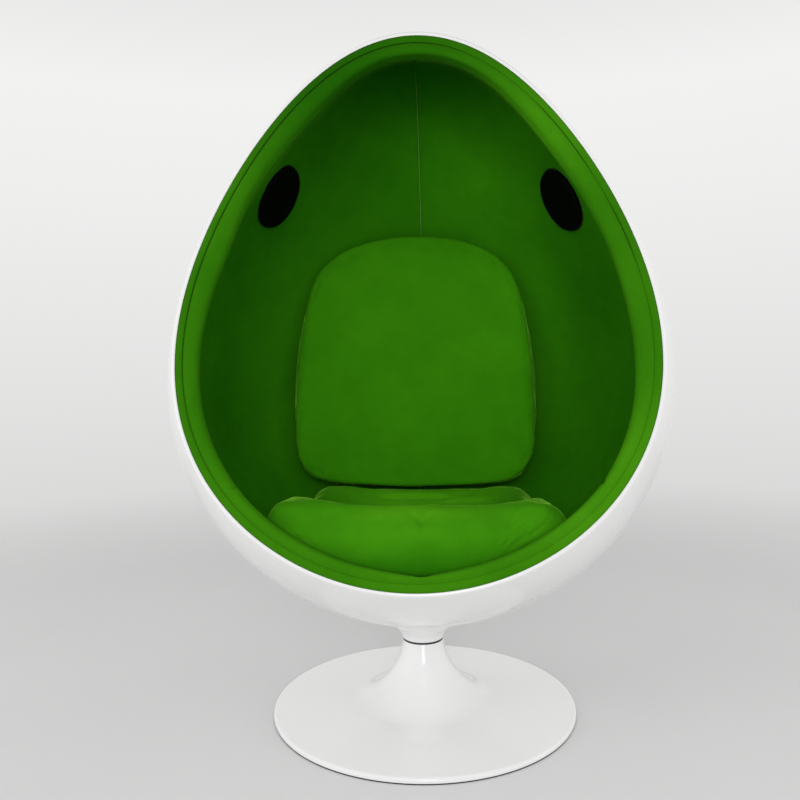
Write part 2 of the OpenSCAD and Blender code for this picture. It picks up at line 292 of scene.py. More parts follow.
def ramp(nt, fac, stops):
    r = nt.nodes.new("ShaderNodeValToRGB")
    el = r.color_ramp.elements
    while len(el) < len(stops):
        el.new(0.5)
    for e, (pos, col) in zip(el, stops):
        e.position = pos
        e.color = (*col, 1) if len(col) == 3 else col
    nt.links.new(fac, r.inputs["Fac"])
    return r.outputs["Color"]


def mix(nt, fac, a, b, kind="MIX"):
    m = node(nt, "ShaderNodeMix", data_type="RGBA", blend_type=kind)
    for socket, v in ((m.inputs["Factor"], fac), (m.inputs["A"], a), (m.inputs["B"], b)):
        if isinstance(v, bpy.types.NodeSocket):
            nt.links.new(v, socket)
        elif isinstance(v, (int, float)):
            socket.default_value = v
        else:
            socket.default_value = (*v, 1)
    return m.outputs["Result"]


def vmath(nt, kind, *args):
    n = node(nt, "ShaderNodeVectorMath", operation=kind)
    for socket, v in zip(n.inputs, args):
        if isinstance(v, bpy.types.NodeSocket):
            nt.links.new(v, socket)
        else:
            socket.default_value = v
    return n.outputs["Vector"]


def bumps(nt, bsdf, layers):
    """Chain of Bump nodes from [(height socket, strength, distance in metres)]."""
    last = None
    for h, strength, dist in layers:
        b = node(nt, "ShaderNodeBump")
        b.inputs["Strength"].default_value = strength
        b.inputs["Distance"].default_value = dist
        nt.links.new(h, b.inputs["Height"])
        if last is not None:
            nt.links.new(last, b.inputs["Normal"])
        last = b.outputs["Normal"]
    nt.links.new(last, bsdf.inputs["Normal"])


def velvet(name, dark, light, sheen=0.3, painted_light_areas=()):
    """Short pile: nap patches, fine fuzz and a soft sheen. The areas are [(centre, radii, gain)] of painted light (gain
    above 0) and painted shade (gain below 0) in the base colour, with one gain or one for each of red, green and blue."""
    m, nt, b = material(name, light, rough=0.95)
    b.inputs["Specular IOR Level"].default_value = 0.02
    b.inputs["Sheen Weight"].default_value = sheen
    b.inputs["Sheen Roughness"].default_value = 0.26
    b.inputs["Sheen Tint"].default_value = (0.44, 1.0, 0.10, 1)
    co = node(nt, "ShaderNodeTexCoord").outputs["Object"]
    big = noise_node(nt, co, 5.5, 2.0, 0.5)
    nap = noise_node(nt, co, 34.0, 4.0, 0.6)
    fuzz = noise_node(nt, co, 900.0, 2.0, 0.7)
    mid = ramp(nt, nap, [(0.3, (0.35, 0.35, 0.35)), (0.72, (0.65, 0.65, 0.65))])
    f = node(nt, "ShaderNodeMath", operation="MULTIPLY_ADD")
    nt.links.new(big, f.inputs[0])
    f.inputs[1].default_value = 0.9
    f.inputs[2].default_value = -0.2
    g = node(nt, "ShaderNodeMath", operation="MULTIPLY_ADD")
    nt.links.new(mid, g.inputs[0])
    g.inputs[1].default_value = 0.5
    nt.links.new(f.outputs[0], g.inputs[2])
    col = ramp(nt, g.outputs[0], [(0.12, dark), (0.88, light)])
    speck = ramp(nt, fuzz, [(0.3, (0.9, 0.9, 0.9)), (0.7, (1.0, 1.0, 1.0))])
    col = mix(nt, 1.0, col, speck, "MULTIPLY")
    # painted light and shade: each area scales the base colour up or down
    painted_light_gain = None
    for centre, radii, gain in painted_light_areas:
        d = vmath(nt, "DIVIDE", vmath(nt, "SUBTRACT", co, centre), radii)
        length = node(nt, "ShaderNodeVectorMath", operation="LENGTH")
        nt.links.new(d, length.inputs[0])
        fall = node(nt, "ShaderNodeMapRange", interpolation_type="SMOOTHSTEP")
        fall.inputs["To Min"].default_value, fall.inputs["To Max"].default_value = 1.0, 0.0
        nt.links.new(length.outputs["Value"], fall.inputs["Value"])
        painted_light_gain = vmath(nt, "MULTIPLY_ADD", fall.outputs["Result"], gain if isinstance(gain, tuple) else (1.5 * gain, gain, 1.3 * gain), painted_light_gain if painted_light_gain is not None else (1, 1, 1))
    if painted_light_gain is not None:
        col = vmath(nt, "MULTIPLY", col, painted_light_gain)
    nt.links.new(col, b.inputs["Base Color"])
    bumps(nt, b, [(nap, 0.25, 0.002), (fuzz, 0.5, 0.0006)])
    return m


def gloss_white(name, rough, ripple):
    m, nt, b = material(name, (0.885, 0.885, 0.88), rough=rough)
    b.inputs["Coat Weight"].default_value = 0.6
    b.inputs["Coat Roughness"].default_value = 0.05
    b.inputs["Specular IOR Level"].default_value = 0.5
    co = node(nt, "ShaderNodeTexCoord").outputs["Object"]
    wave = noise_node(nt, co, 9.0, 1.0, 0.4)
    peel = noise_node(nt, co, 260.0, 2.0, 0.5)
    tone = noise_node(nt, co, 3.0, 2.0, 0.5)
    col = ramp(nt, tone, [(0.2, (0.875, 0.875, 0.875)), (0.8, (0.90, 0.90, 0.893))])
    nt.links.new(col, b.inputs["Base Color"])
    r = ramp(nt, peel, [(0.2, (rough * 0.85,) * 3), (0.8, (rough * 1.15,) * 3)])
    nt.links.new(r, b.inputs["Roughness"])
    bumps(nt, b, [(wave, ripple, 0.003), (peel, 0.02, 0.0001)])
    return m


def plain(name, color, rough, metallic=0.0, grain=400.0, strength=0.2, dist=0.0003, vary=0.12, **kw):
    """Moulded plastic, rubber, steel: a little colour variation and grain."""
    m, nt, b = material(name, color, rough=rough, metallic=metallic, **kw)
    co = node(nt, "ShaderNodeTexCoord").outputs["Object"]
    g = noise_node(nt, co, grain, 3.0, 0.6)
    t = noise_node(nt, co, grain / 14, 3.0, 0.6)
    lo, hi = tuple(c * (1 - vary) for c in color), tuple(min(1.0, c * (1 + vary)) for c in color)
    nt.links.new(ramp(nt, t, [(0.25, lo), (0.75, hi)]), b.inputs["Base Color"])
    nt.links.new(ramp(nt, t, [(0.2, (rough * 0.85,) * 3), (0.8, (min(1, rough * 1.15),) * 3)]), b.inputs["Roughness"])
    bumps(nt, b, [(g, strength, dist)])
    return m


M = {
    "shell_white": gloss_white("gel_coat_white", 0.16, 0.05),
    "pedestal_white": gloss_white("lacquer_white", 0.13, 0.04),
    "gasket_black": plain("rubber_black", (0.012, 0.012, 0.012), 0.7),
    "washer_black": plain("acetal_black", (0.015, 0.015, 0.016), 0.45),
    "bush_nylon": plain("nylon", (0.8, 0.79, 0.72), 0.4),
    "steel": plain("zinc_steel", (0.52, 0.52, 0.54), 0.32, 1.0, grain=900, strength=0.12, dist=0.0001),
    "plywood": plain("plywood", (0.52, 0.36, 0.2), 0.65, grain=120, vary=0.25),
    "mdf_black": plain("black_board", (0.012, 0.012, 0.012), 0.6),
    "foam": plain("foam", (0.8, 0.74, 0.52), 0.95, grain=500, strength=0.6, dist=0.001),
    # The four velvets are one fabric: their different base brightness is painted light and shade, set piece by piece.
    # The listed areas scale the base colour as painted shade (the ceiling, the rim's top, the seat's front) and painted
    # light (the side walls, more on the right, the rim's lower part and upper right, a painted highlight on the lip's
    # crest, and the seat's rear).
    "velvet_lining": velvet("velvet_lining", (0.0225, 0.188, 0.002), (0.050, 0.306, 0.004), 0.15, [
        ((0, 0.10, 1.27), (0.36, 0.30, 0.15), -0.5), ((0.18, 0.30, 1.05), (0.25, 0.3, 0.35), 0.35),
        ((0.30, 0.34, 0.72), (0.13, 0.2, 0.3), 0.3), ((-0.32, 0.30, 0.70), (0.15, 0.2, 0.35), 0.15)]),
    "velvet_rim": velvet("velvet_rim", (0.024, 0.158, 0.0022), (0.048, 0.235, 0.004), 0.12, [
        ((-0.15, -0.08, 1.20), (0.38, 0.5, 0.35), -0.38), ((0.33, -0.25, 0.42), (0.30, 0.5, 0.30), 0.42),
        ((0, -0.28, 0.33), (0.35, 0.5, 0.2), 0.2), ((-0.30, -0.26, 0.44), (0.25, 0.5, 0.25), 0.1), ((0.24, -0.08, 1.08), (0.2, 0.4, 0.2), 0.25)]),
    "velvet_seat": velvet("velvet_seat", (0.033, 0.215, 0.003), (0.072, 0.345, 0.006), 0.6, [
        ((0.006, -0.235, 0.425), (0.16, 0.06, 0.026), (0.6, 0.22, 0.4)), ((0, -0.27, 0.335), (0.27, 0.1, 0.07), -0.34), ((0, 0.195, 0.39), (0.34, 0.17, 0.09), 0.70)]),
    "velvet_back": velvet("velvet_back", (0.037, 0.255, 0.003), (0.075, 0.390, 0.006), 0.7),
    "speaker_black": plain("satin_black", (0.0020, 0.0020, 0.0021), 0.75, Specular_IOR_Level=0.06),
    "ferrite": plain("ferrite", (0.07, 0.07, 0.075), 0.6),
    "cone_black": plain("cone_black", (0.003, 0.003, 0.003), 0.9, Specular_IOR_Level=0.05),
    "lead_black": plain("lead_black", (0.015, 0.015, 0.015), 0.5),
    "panel_black": plain("panel_black", (0.014, 0.014, 0.015), 0.5, strength=0.35),
    "circuit_board": plain("circuit_board", (0.02, 0.16, 0.05), 0.4),
    "knob_black": plain("knob_black", (0.02, 0.02, 0.021), 0.38),
    "button_grey": plain("button_grey", (0.16, 0.16, 0.165), 0.4),
}
slot_of = {s["node"]: s["material_slot"] for s in frame["record"]["subparts"]}


def finish_piece(ob, slot, body, *stands_for):
    ob.data.materials.clear()
    ob.data.materials.append(M[slot])
    if stands_for:
        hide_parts(*stands_for)
    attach(ob, body)
    return ob


for name, ob in nodes.items():
    m = M[slot_of[name]]
    if len(ob.material_slots):
        for s in ob.material_slots:
            s.material = m
    else:
        ob.data.materials.append(m)

# ---------------------------------------------------------------- shell
PHI_N = 512
phi = np.linspace(0, 2 * math.pi, PHI_N, endpoint=False) + math.pi / 2
MID = np.array([0.0, 0.0, -0.03])


def bowl(t, y0, rings, phis):
    """Rings from the rim (distance y0 behind the opening) to the back pole, on the surface at depth t."""
    edge = rim_point(phis, t, y0)
    d = edge - MID
    n = -N_OPEN
    z = d @ n
    side = d - z[..., None] * n
    sl = np.linalg.norm(side, axis=-1)
    side = side / sl[..., None]
    th = np.arctan2(sl, z)
    ang = th[None, :] * (1 - np.arange(1, rings) / rings)[:, None]
    dr = np.cos(ang)[..., None] * n + np.sin(ang)[..., None] * side[None]
    pts = along(MID, dr, t)
    pole = along(MID, n[None], t)[0]
    return np.concatenate([edge[None], pts]), pole


def shell():
    rings_out, pole_out = bowl(0.0, 0.0014, 130, phi)
    rings_in, pole_in = bowl(SHELL_T, 0.0014, 80, phi)
    lip = []
    for k in range(1, 10):
        a = math.pi * k / 10
        t = SHELL_T / 2 * (1 - math.cos(a))
        lip.append(rim_point(phi, t, 0.0014 - 0.0014 * math.sin(a)))
    rows = list(rings_out[::-1]) + lip + list(rings_in)
    m = len(rows)
    v = np.concatenate(rows + [pole_out[None], pole_in[None]])
    f = ring_faces(m, PHI_N)
    a, b = m * PHI_N, m * PHI_N + 1
    f += [(a, (j + 1) % PHI_N, j) for j in range(PHI_N)]
    e = (m - 1) * PHI_N
    f += [(b, e + j, e + (j + 1) % PHI_N) for j in range(PHI_N)]
    return fix_normals(make("shell_moulding", world(v), f))


finish_piece(shell(), "shell_white", "pod", "shell")


# ---------------------------------------------------------------- padded rim
def stations(deg, val, width=5.0):
    """Smooth closed curve through listed values round the opening; returns a function of the angle in radians."""
    fine = np.arange(-180, 180)
    v = np.interp(fine, deg, val)
    k = np.exp(-0.5 * (np.arange(-18, 19) / width) ** 2)
    v = np.convolve(np.concatenate([v[-18:], v, v[:18]]), k / k.sum(), "valid")
    v = np.append(v, v[0])
    return lambda p: np.interp((np.degrees(p) + 180) % 360, np.arange(361), v)


# how deep the stuffed roll reaches inwards from the shell's skin, millimetres
roll_in = stations([-180, -165, -148, -128, -107, -90, -72, -50, -35, -22, -8, 10, 25, 50, 62, 74, 90, 103, 118, 133, 150, 168, 180],
                   [51, 47, 44, 42, 41, 37.5, 40, 39, 44, 49, 52.5, 51.5, 54, 57, 53, 47, 48.5, 50, 59, 55, 50, 55, 51], 4.0)
# how open the seam between band and roll shows: tight and dark on the left, pulled shut in places on the right
seam_open = stations([-180, -140, -120, -90, -60, -20, -5, 4, 8, 19, 24, 32, 35, 38, 41, 54, 57, 76, 82, 90, 130, 180],
                     [1, 0.35, 0.12, 0.05, 0.05, 0.12, 0.15, 0.2, 0.7, 0.7, 0.12, 0.12, 0.7, 0.7, 0.8, 0.8, 0.1, 0.15, 0.75, 1, 1, 1], 1.5)
# where the roll eases into the ceiling without an edge: 1 over the upper half, 0 lower down
ease_in = stations([-180, 0, 12, 40, 90, 140, 168, 179], [0, 0, 0.15, 0.9, 1, 0.9, 0.15, 0], 5.0)


def rim(name, section, n, wave=None):
    """Sweeps a closed section [(t, y)] in millimetres round the opening. wave(phi, t, y) moves t and y."""
    ph = np.linspace(0, 2 * math.pi, n, endpoint=False) + math.pi / 2
    sec = np.array(section, float) / 1000
    P, T = np.meshgrid(ph, sec[:, 0])
    _, Y = np.meshgrid(ph, sec[:, 1])
    if wave is not None:
        T, Y = wave(P, T, Y)
    pts = rim_point(P, T, Y)
    m = len(sec)
    f = ring_faces(m, n)
    f += [((m - 1) * n + j, (m - 1) * n + (j + 1) % n, (j + 1) % n, j) for j in range(n)]
    return fix_normals(make(name, world(pts.reshape(-1, 3)), f))


RIM_LENGTH = 2.95  # metres round the opening


def ang_dist(P, deg):
    """Distance along the rim from an angle, in metres."""
    return ((P - math.radians(deg) + math.pi) % (2 * math.pi) - math.pi) / (2 * math.pi) * RIM_LENGTH


def rim_puckers(P, T, Y):
    """Gathers at the seam between band and roll, and the tucks in the roll."""
    s = P / (2 * math.pi) * RIM_LENGTH
    T0, Y0 = T.copy(), Y.copy()
    scale = (roll_in(P) / 1000 - BAND_T) / (T_IN - BAND_T)
    inner = T0 > BAND_T + 0.0001
    T = np.where(inner, BAND_T + (T0 - BAND_T) * (1 + (scale - 1) * smooth01((T0 - 0.020) / 0.016)), T0)
    slack = (T0 - 0.024) / 0.018
    T = T - ease_in(P) * 0.0085 * smooth01(slack) * (1 - smooth01((Y0 + 0.004) / 0.046)) * inner
    Y = np.where(inner & (Y0 < 0), Y0 * (1 + 0.1 * (scale - 1)), Y0)
    # the seam: pulled shut where seam_open is small
    d = T0 - BAND_T
    level = -0.0022 - 0.1 * np.clip(d, -0.006, 0.004)
    shut = (1 - seam_open(P)) * bump(d, 0.0032) * (Y0 < 0.0042)
    Y = Y + np.minimum(level - Y, 0) * shut * 0.86
    front = smooth01((0.02 - Y0) / 0.02)
    gather = 0.00030 * np.sin(2 * math.pi * s / 0.0125 + 1.7 * np.sin(s * 9.0)) * (0.5 + 0.5 * np.sin(s * 6.1 + 2)) * bump(np.abs(d), 0.0035) * front
    pts = np.stack([np.cos(P) * 1.0, np.sin(P) * 1.0, T0 * 6], -1)
    slow = 0.0009 * fbm(pts, 5.0, 3.0) * smooth01((T0 - 0.018) / 0.01) * front
    # tucks: where the roll's two halves meet below, a small fold low on the left, a soft kink low on the right
    x = ang_dist(P, -89.0)
    pull = (0.0020 * bump(x, 0.010) + 0.0022 * bump(x, 0.035)) * smooth01((T0 - 0.022) / 0.012)
    u = ang_dist(P, -130.5)
    fold = 0.0026 * bump(u - 0.25 * (T0 - 0.032), 0.0028) * bump(T0 - 0.033, 0.0085)
    fold -= 0.0016 * bump(u - 0.25 * (T0 - 0.032) - 0.0065, 0.004) * bump(T0 - 0.033, 0.009)
    w = ang_dist(P, -48.7)
    kink = 0.0016 * bump(w, 0.006) * smooth01((T0 - 0.03) / 0.008)
    return T - 1.2 * pull - kink * 1.4, Y + gather + slow + 0.6 * pull + fold + kink


def section_band():
    return [(5.35, 14), (5.3, 3.0), (5.6, 0.9), (6.5, -0.7), (8.0, -1.6), (9.6, -2.0), (11.2, -2.05), (12.8, -1.9), (14.1, -1.5), (15.0, -0.8), (15.6, 0.4), (15.88, 2.2), (15.92, 14)]


def section_roll():
    return [(16.05, 16), (16.06, 2.2), (16.3, 0.5), (16.8, -1.2), (17.6, -2.7), (18.8, -4.0), (20.4, -4.9), (22.3, -5.3), (24.4, -5.0), (26.6, -4.2), (28.8, -2.9), (31.0, -1.2), (33.1, 0.9),
            (35.1, 3.3), (37.0, 6.1), (38.7, 9.2), (40.1, 12.6), (41.3, 15.8), (41.75, 20.5), (41.95, 25.5), (41.9, 30.5), (41.6, 34.8), (40.9, 38.0), (39.6, 39.7), (33, 39.9), (25, 39.9), (17.5, 39.9), (16.1, 38)]


band = rim("rim_band_velvet", section_band(), 1500, rim_puckers)
finish_piece(band, "velvet_rim", "pod", "rim_edge_band")
roll = rim("rim_roll_velvet", section_roll(), 1500, rim_puckers)
finish_piece(roll, "velvet_rim", "pod", "rim_roll")


# ---------------------------------------------------------------- frames on the inner wall
def wall_frame(az, a, lift=0.0, turn=0.0):
    """Origin and axes (columns, z into the cabin), in the egg's own frame; az, a and turn in degrees."""
    az, a, turn = map(math.radians, (az, a, turn))
    r, z = raw(a)
    (dr, dz), _ = raw_d(a)
    n = math.hypot(dr, dz)
    nr, nz = dz / n, -dr / n  # outwards
    p = (r - T_IN * nr, z - T_IN * nz)
    b = math.atan2(-nr, -nz)

    def rz(t):
        return np.array([[math.cos(t), -math.sin(t), 0], [math.sin(t), math.cos(t), 0], [0, 0, 1]])

    ry = np.array([[math.cos(b), 0, math.sin(b)], [0, 1, 0], [-math.sin(b), 0, math.cos(b)]])
    B = rz(az) @ ry @ rz(turn)
    return rz(az) @ np.array([p[0], 0, p[1]]) + B[:, 2] * lift, B


SPEAKER = {"left": wall_frame(180 - 8, 123), "right": wall_frame(11.25, 120.75)}
PANEL = wall_frame(-4.5, 86.25, 0.0008, -24)


def on_wall(fr, v):
    return world(fr[0] + np.asarray(v, float) @ fr[1].T)


def place(ob, fr):
    """Moves a mesh made round the local origin onto the wall frame."""
    v = np.array([tuple(c.co) for c in ob.data.vertices])
    ob.data.vertices.foreach_set("co", on_wall(fr, v).ravel())
    ob.data.update()
    return ob


# ---------------------------------------------------------------- lining
def lining(side):
    """Half of the velvet lining: a closed, softly padded skin with a pulled-in edge at the middle seam."""
    n, rings = 260, 138
    s = np.linspace(-1, 1, n)
    ph = math.pi / 2 * (s + 0.8 * np.sin(math.pi * s) / math.pi)
    ph = np.clip(ph, -math.pi / 2, math.pi / 2)
    if side < 0:
        ph = math.pi - ph[::-1]
    base, pole = bowl(0.042, 0.0404, rings, ph)
    y = behind(base)
    T = roll_in(ph)[None, :] / 1000
    up = ease_in(ph)[None, :]
    g = 1 - smooth01((y - 0.035) / (0.085 + 0.075 * up))
    t = np.maximum(0.042 + (T - 0.042 + 0.002 * up * smooth01((y - 0.035) / 0.03)) * g, 0.0413)
    t = t - 0.0016 * bump(y - 0.0404, 0.0035)
    w = world(base)
    t = t + 0.0008 * fbm(w, 9.0, 5.0 + side, 2) + 0.0003 * fbm(w, 40.0, 8.0, 2)
    x = np.abs(base[..., 0])
    arc_len = np.cumsum(np.concatenate([np.zeros((1, n)), np.linalg.norm(np.diff(base, axis=0), axis=-1)]), axis=0)
    t = t + 0.0010 * bump(x - 0.012, 0.010) - 0.0019 * bump(x, 0.0030)
    t = t + 0.00055 * np.sin(2 * math.pi * arc_len / 0.021 + 1.5 * np.sin(arc_len * 23) + side) * bump(x - 0.004, 0.009) * (0.45 + 0.55 * np.sin(arc_len * 11 + 1))
    t = np.maximum(t, 0.0408)
    top = at_depth(base, t)
    back = at_depth(base, 0.0403)
    shift = np.array([0.00018 * side, 0, 0])
    top, back = top + shift * bump(x, 0.002)[..., None], back + shift * bump(x, 0.002)[..., None]
    P = np.concatenate([top.reshape(-1, 3), (pole * 0 + at_depth(pole[None], np.array([0.0408]))[0] + shift)[None]])
    Q = np.concatenate([back.reshape(-1, 3), (at_depth(pole[None], np.array([0.0403]))[0] + shift)[None]])
    faces = [(i * n + j, i * n + j + 1, (i + 1) * n + j + 1, (i + 1) * n + j) for i in range(rings - 1) for j in range(n - 1)]
    c = rings * n
    faces += [((rings - 1) * n + j, (rings - 1) * n + j + 1, c) for j in range(n - 1)]
    fr, rad = (SPEAKER["left" if side < 0 else "right"], 0.0702)
    holes = [(fr, rad)] + ([(PANEL, 0.0395)] if side > 0 else [])
    keep = np.ones(len(faces), bool)
    tri = np.array([f if len(f) == 4 else (f[0], f[1], f[2], f[2]) for f in faces])
    for (o, B), r in holes:
        v = (P - o) @ B
        cen = v[tri].mean(1)
        inside = (np.hypot(cen[:, 0], cen[:, 1]) < r) & (np.abs(cen[:, 2]) < 0.05)
        near = inside & keep
        keep &= ~inside
        edge = np.intersect1d(np.unique(tri[near]), np.unique(tri[keep]))
        for X in (P, Q):
            u = (X[edge] - o) @ B
            rr = np.hypot(u[:, 0], u[:, 1])
            u[:, :2] *= (r / rr)[:, None]
            X[edge] = o + u @ B.T
    kept = [f for f, k in zip(faces, keep) if k]
    count = {}
    for f in kept:
        for a, b in zip(f, f[1:] + f[:1]):
            count[(a, b)] = count.get((a, b), 0) + 1
    walls = [(b, a, a + len(P), b + len(P)) for (a, b) in count if (b, a) not in count]
    allf = kept + [tuple(i + len(P) for i in f[::-1]) for f in kept] + walls
    V = np.concatenate([P, Q])
    used = np.unique(np.concatenate([np.array(f) for f in allf]))
    remap = np.full(len(V), -1)
    remap[used] = np.arange(len(used))
    allf = [tuple(remap[list(f)]) for f in allf]
    name = "lining_velvet_left" if side < 0 else "lining_velvet_right"
    return sharp(fix_normals(make(name, world(V[used]), allf)), 60)


for side, node_name in ((-1, "lining_left"), (1, "lining_right")):
    ob = finish_piece(lining(side), "velvet_lining", "pod", node_name)


# ---------------------------------------------------------------- cushions
def smax(a, b, r):
    """Rounded intersection of two distances."""
    return np.minimum(-r, np.maximum(a, b)) + np.hypot(np.maximum(a + r, 0), np.maximum(b + r, 0))


def closed_curve(pts, per=14):
    """Catmull-Rom curve through a closed list of given points."""
    p = np.array(pts, float)
    out = []
    for i in range(len(p)):
        a, b, c, d = p[i - 1], p[i], p[(i + 1) % len(p)], p[(i + 2) % len(p)]
        for k in range(per):
            t = k / per
            out.append(0.5 * (2 * b + (c - a) * t + (2 * a - 5 * b + 4 * c - d) * t * t + (3 * b - a - 3 * c + d) * t**3))
    return np.array(out)


class Outline:
    """Signed distance to a closed plane curve, negative inside, tabled on a fine grid."""

    def __init__(self, pts, step=0.003, pad=0.06):
        c = closed_curve(pts)
        self.lo = c.min(0) - pad
        self.step = step
        n = np.ceil((c.max(0) + pad - self.lo) / step).astype(int) + 2
        X, Y = np.meshgrid(self.lo[0] + step * np.arange(n[0]), self.lo[1] + step * np.arange(n[1]), indexing="ij")
        a, b = c, np.roll(c, -1, axis=0)
        d2 = np.full(X.shape, 9.0)
        odd = np.zeros(X.shape, bool)
        for (ax, ay), (bx, by) in zip(a, b):
            ex, ey = bx - ax, by - ay
            t = np.clip(((X - ax) * ex + (Y - ay) * ey) / (ex * ex + ey * ey + 1e-18), 0, 1)
            d2 = np.minimum(d2, (X - ax - t * ex) ** 2 + (Y - ay - t * ey) ** 2)
            if ay != by:
                hit = (ay > Y) != (by > Y)
                odd ^= hit & (X < (bx - ax) * (Y - ay) / (by - ay) + ax)
        self.d = np.sqrt(d2) * np.where(odd, -1, 1)

    def __call__(self, x, y):
        u = np.clip((x - self.lo[0]) / self.step, 0, self.d.shape[0] - 1.001)
        v = np.clip((y - self.lo[1]) / self.step, 0, self.d.shape[1] - 1.001)
        i, j = u.astype(int), v.astype(int)
        fu, fv = u - i, v - j
        d = self.d
        return (d[i, j] * (1 - fu) + d[i + 1, j] * fu) * (1 - fv) + (d[i, j + 1] * (1 - fu) + d[i + 1, j + 1] * fu) * fv


def surface_net(f, lo, hi, h):
    """Closed quad mesh of f = 0 (f negative inside) on a grid of step h, in f's own space."""
    lo = np.array(lo, float)
    n = np.ceil((np.array(hi) - lo) / h).astype(int) + 1
    ax = [lo[k] + h * np.arange(n[k]) for k in range(3)]
    G = np.stack(np.meshgrid(*ax, indexing="ij"), -1)
    v = f(G.reshape(-1, 3)).reshape(n)
    neg = v < 0
    m = n - 1
    acc, cnt = np.zeros((*m, 3)), np.zeros(m)
    quads = []
    corner = np.array([[0, 0, 0], [1, 0, 0], [0, 1, 0], [1, 1, 0], [0, 0, 1], [1, 0, 1], [0, 1, 1], [1, 1, 1]])

    def sub(a, o):
        return a[o[0] : o[0] + m[0], o[1] : o[1] + m[1], o[2] : o[2] + m[2]]

    for a in range(8):
        for axis in range(3):
            if corner[a][axis]:
                continue
            o2 = corner[a].copy()
            o2[axis] = 1
            va, vb = sub(v, corner[a]), sub(v, o2)
            cross = (va < 0) != (vb < 0)
            t = np.where(cross, va / np.where(cross, va - vb, 1), 0)
            for k in range(3):
                acc[..., k] += np.where(cross, corner[a][k] + (t if k == axis else 0), 0)
            cnt += cross
    used = cnt > 0
    ids = np.full(m, -1)
    ids[used] = np.arange(used.sum())
    cell = np.stack(np.nonzero(used), -1)
    pts = lo + h * (cell + acc[used] / cnt[used][:, None])
    for axis in range(3):
        b, c = (axis + 1) % 3, (axis + 2) % 3
        sl0, sl1 = [slice(1, -1)] * 3, [slice(1, -1)] * 3
        sl0[axis], sl1[axis] = slice(0, -1), slice(1, None)
        na, nb = neg[tuple(sl0)], neg[tuple(sl1)]
        idx = np.stack(np.nonzero(na != nb), -1)
        off = np.array([1, 1, 1])
        off[axis] = 0
        idx = idx + off
        flip = na[na != nb]
        eb, ec = np.eye(3, dtype=int)[b], np.eye(3, dtype=int)[c]
        q = np.stack([ids[tuple((idx - eb - ec).T)], ids[tuple((idx - ec).T)], ids[tuple(idx.T)], ids[tuple((idx - eb).T)]], -1)
        q[~flip] = q[~flip][:, ::-1]
        quads.append(q)
    return pts, np.concatenate(quads)


def settle(f, p, quads, rounds=3):
    """Evens a net out and pulls it back onto f = 0."""
    e = np.unique(np.sort(np.concatenate([quads[:, [0, 1]], quads[:, [1, 2]], quads[:, [2, 3]], quads[:, [3, 0]]]), axis=1), axis=0)
    deg = np.bincount(e.ravel(), minlength=len(p)).astype(float)

    def project(p):
        v, g = f(p), np.empty_like(p)
        for k in range(3):
            d = np.zeros(3)
            d[k] = 0.0006
            g[:, k] = (f(p + d) - f(p - d)) / 0.0012
        g2 = (g**2).sum(1)
        step = np.clip(v / np.maximum(g2, 0.2), -0.004, 0.004)
        return p - step[:, None] * g

    for _ in range(rounds):
        s = np.zeros_like(p)
        np.add.at(s, e[:, 0], p[e[:, 1]])
        np.add.at(s, e[:, 1], p[e[:, 0]])
        p = project(p * 0.4 + s / deg[:, None] * 0.6)
    return project(p)


def coords(ob):
    v = np.empty(len(ob.data.vertices) * 3)
    ob.data.vertices.foreach_get("co", v)
    return v.reshape(-1, 3)


def put(ob, v):
    ob.data.vertices.foreach_set("co", np.asarray(v).ravel())
    ob.data.update()


def normals(ob):
    v = np.empty(len(ob.data.vertices) * 3)
    ob.data.vertices.foreach_get("normal", v)
    return v.reshape(-1, 3)


def apply_modifiers(ob):
    dg = bpy.context.evaluated_depsgraph_get()
    me = bpy.data.meshes.new_from_object(ob.evaluated_get(dg))
    ob.modifiers.clear()
    old = ob.data
    ob.data = me
    me.name = ob.name
    bpy.data.meshes.remove(old)


def subdivide(ob, levels=1):
    m = ob.modifiers.new("sub", "SUBSURF")
    m.levels = m.render_levels = levels
    apply_modifiers(ob)
    ob.data.polygons.foreach_set("use_smooth", [True] * len(ob.data.polygons))


def inflate(ob, pressure, cap, held, stiff=14.0, frames=20):
    """Cloth under air pressure. held(points) is 1 where the cover is held and 0 where it swells; no point moves further than cap."""
    base = coords(ob)
    w = held(base)
    g = ob.vertex_groups.new(name="held")
    for level in np.unique(np.round(w, 1)):
        if level > 0:
            g.add(np.nonzero(np.round(w, 1) == level)[0].tolist(), float(level), "REPLACE")
    m = ob.modifiers.new("Cloth", "CLOTH")
    c = m.settings
    c.quality, c.mass = 6, 0.25
    c.tension_stiffness = c.compression_stiffness = stiff
    c.shear_stiffness, c.bending_stiffness = 6.0, 0.4
    c.use_pressure, c.uniform_pressure_force = True, pressure
    c.effector_weights.gravity = 0.0
    c.vertex_group_mass = "held"
    m.collision_settings.use_collision = False
    m.point_cache.frame_start, m.point_cache.frame_end = 1, frames
    for f in range(1, frames + 1):
        scene.frame_set(f)
    dg = bpy.context.evaluated_depsgraph_get()
    me = ob.evaluated_get(dg).to_mesh()
    new = np.empty(len(me.vertices) * 3)
    me.vertices.foreach_get("co", new)
    new = new.reshape(-1, 3)
    ob.evaluated_get(dg).to_mesh_clear()
    ob.modifiers.clear()
    ob.vertex_groups.clear()
    scene.frame_set(1)
    d = new - base
    n = np.linalg.norm(d, axis=1)
    d = np.nan_to_num(d * (np.minimum(n, cap) / np.maximum(n, 1e-9))[:, None])
    put(ob, base + d)
    print(ob.name, "swelled by up to %.1f mm, mean %.1f mm" % (np.minimum(n, cap).max() * 1000, np.minimum(n, cap).mean() * 1000))


def keep_out(p, depth, front):
    """World points kept off the lining (depth) and behind the opening (front)."""
    q = local(p)
    dep, _ = depth_of(q)
    q = np.where((dep < depth)[:, None], at_depth(q, np.maximum(dep, depth)), q)
    over = np.maximum(front - behind(q), 0)
    return world(q - over[:, None] * N_OPEN)


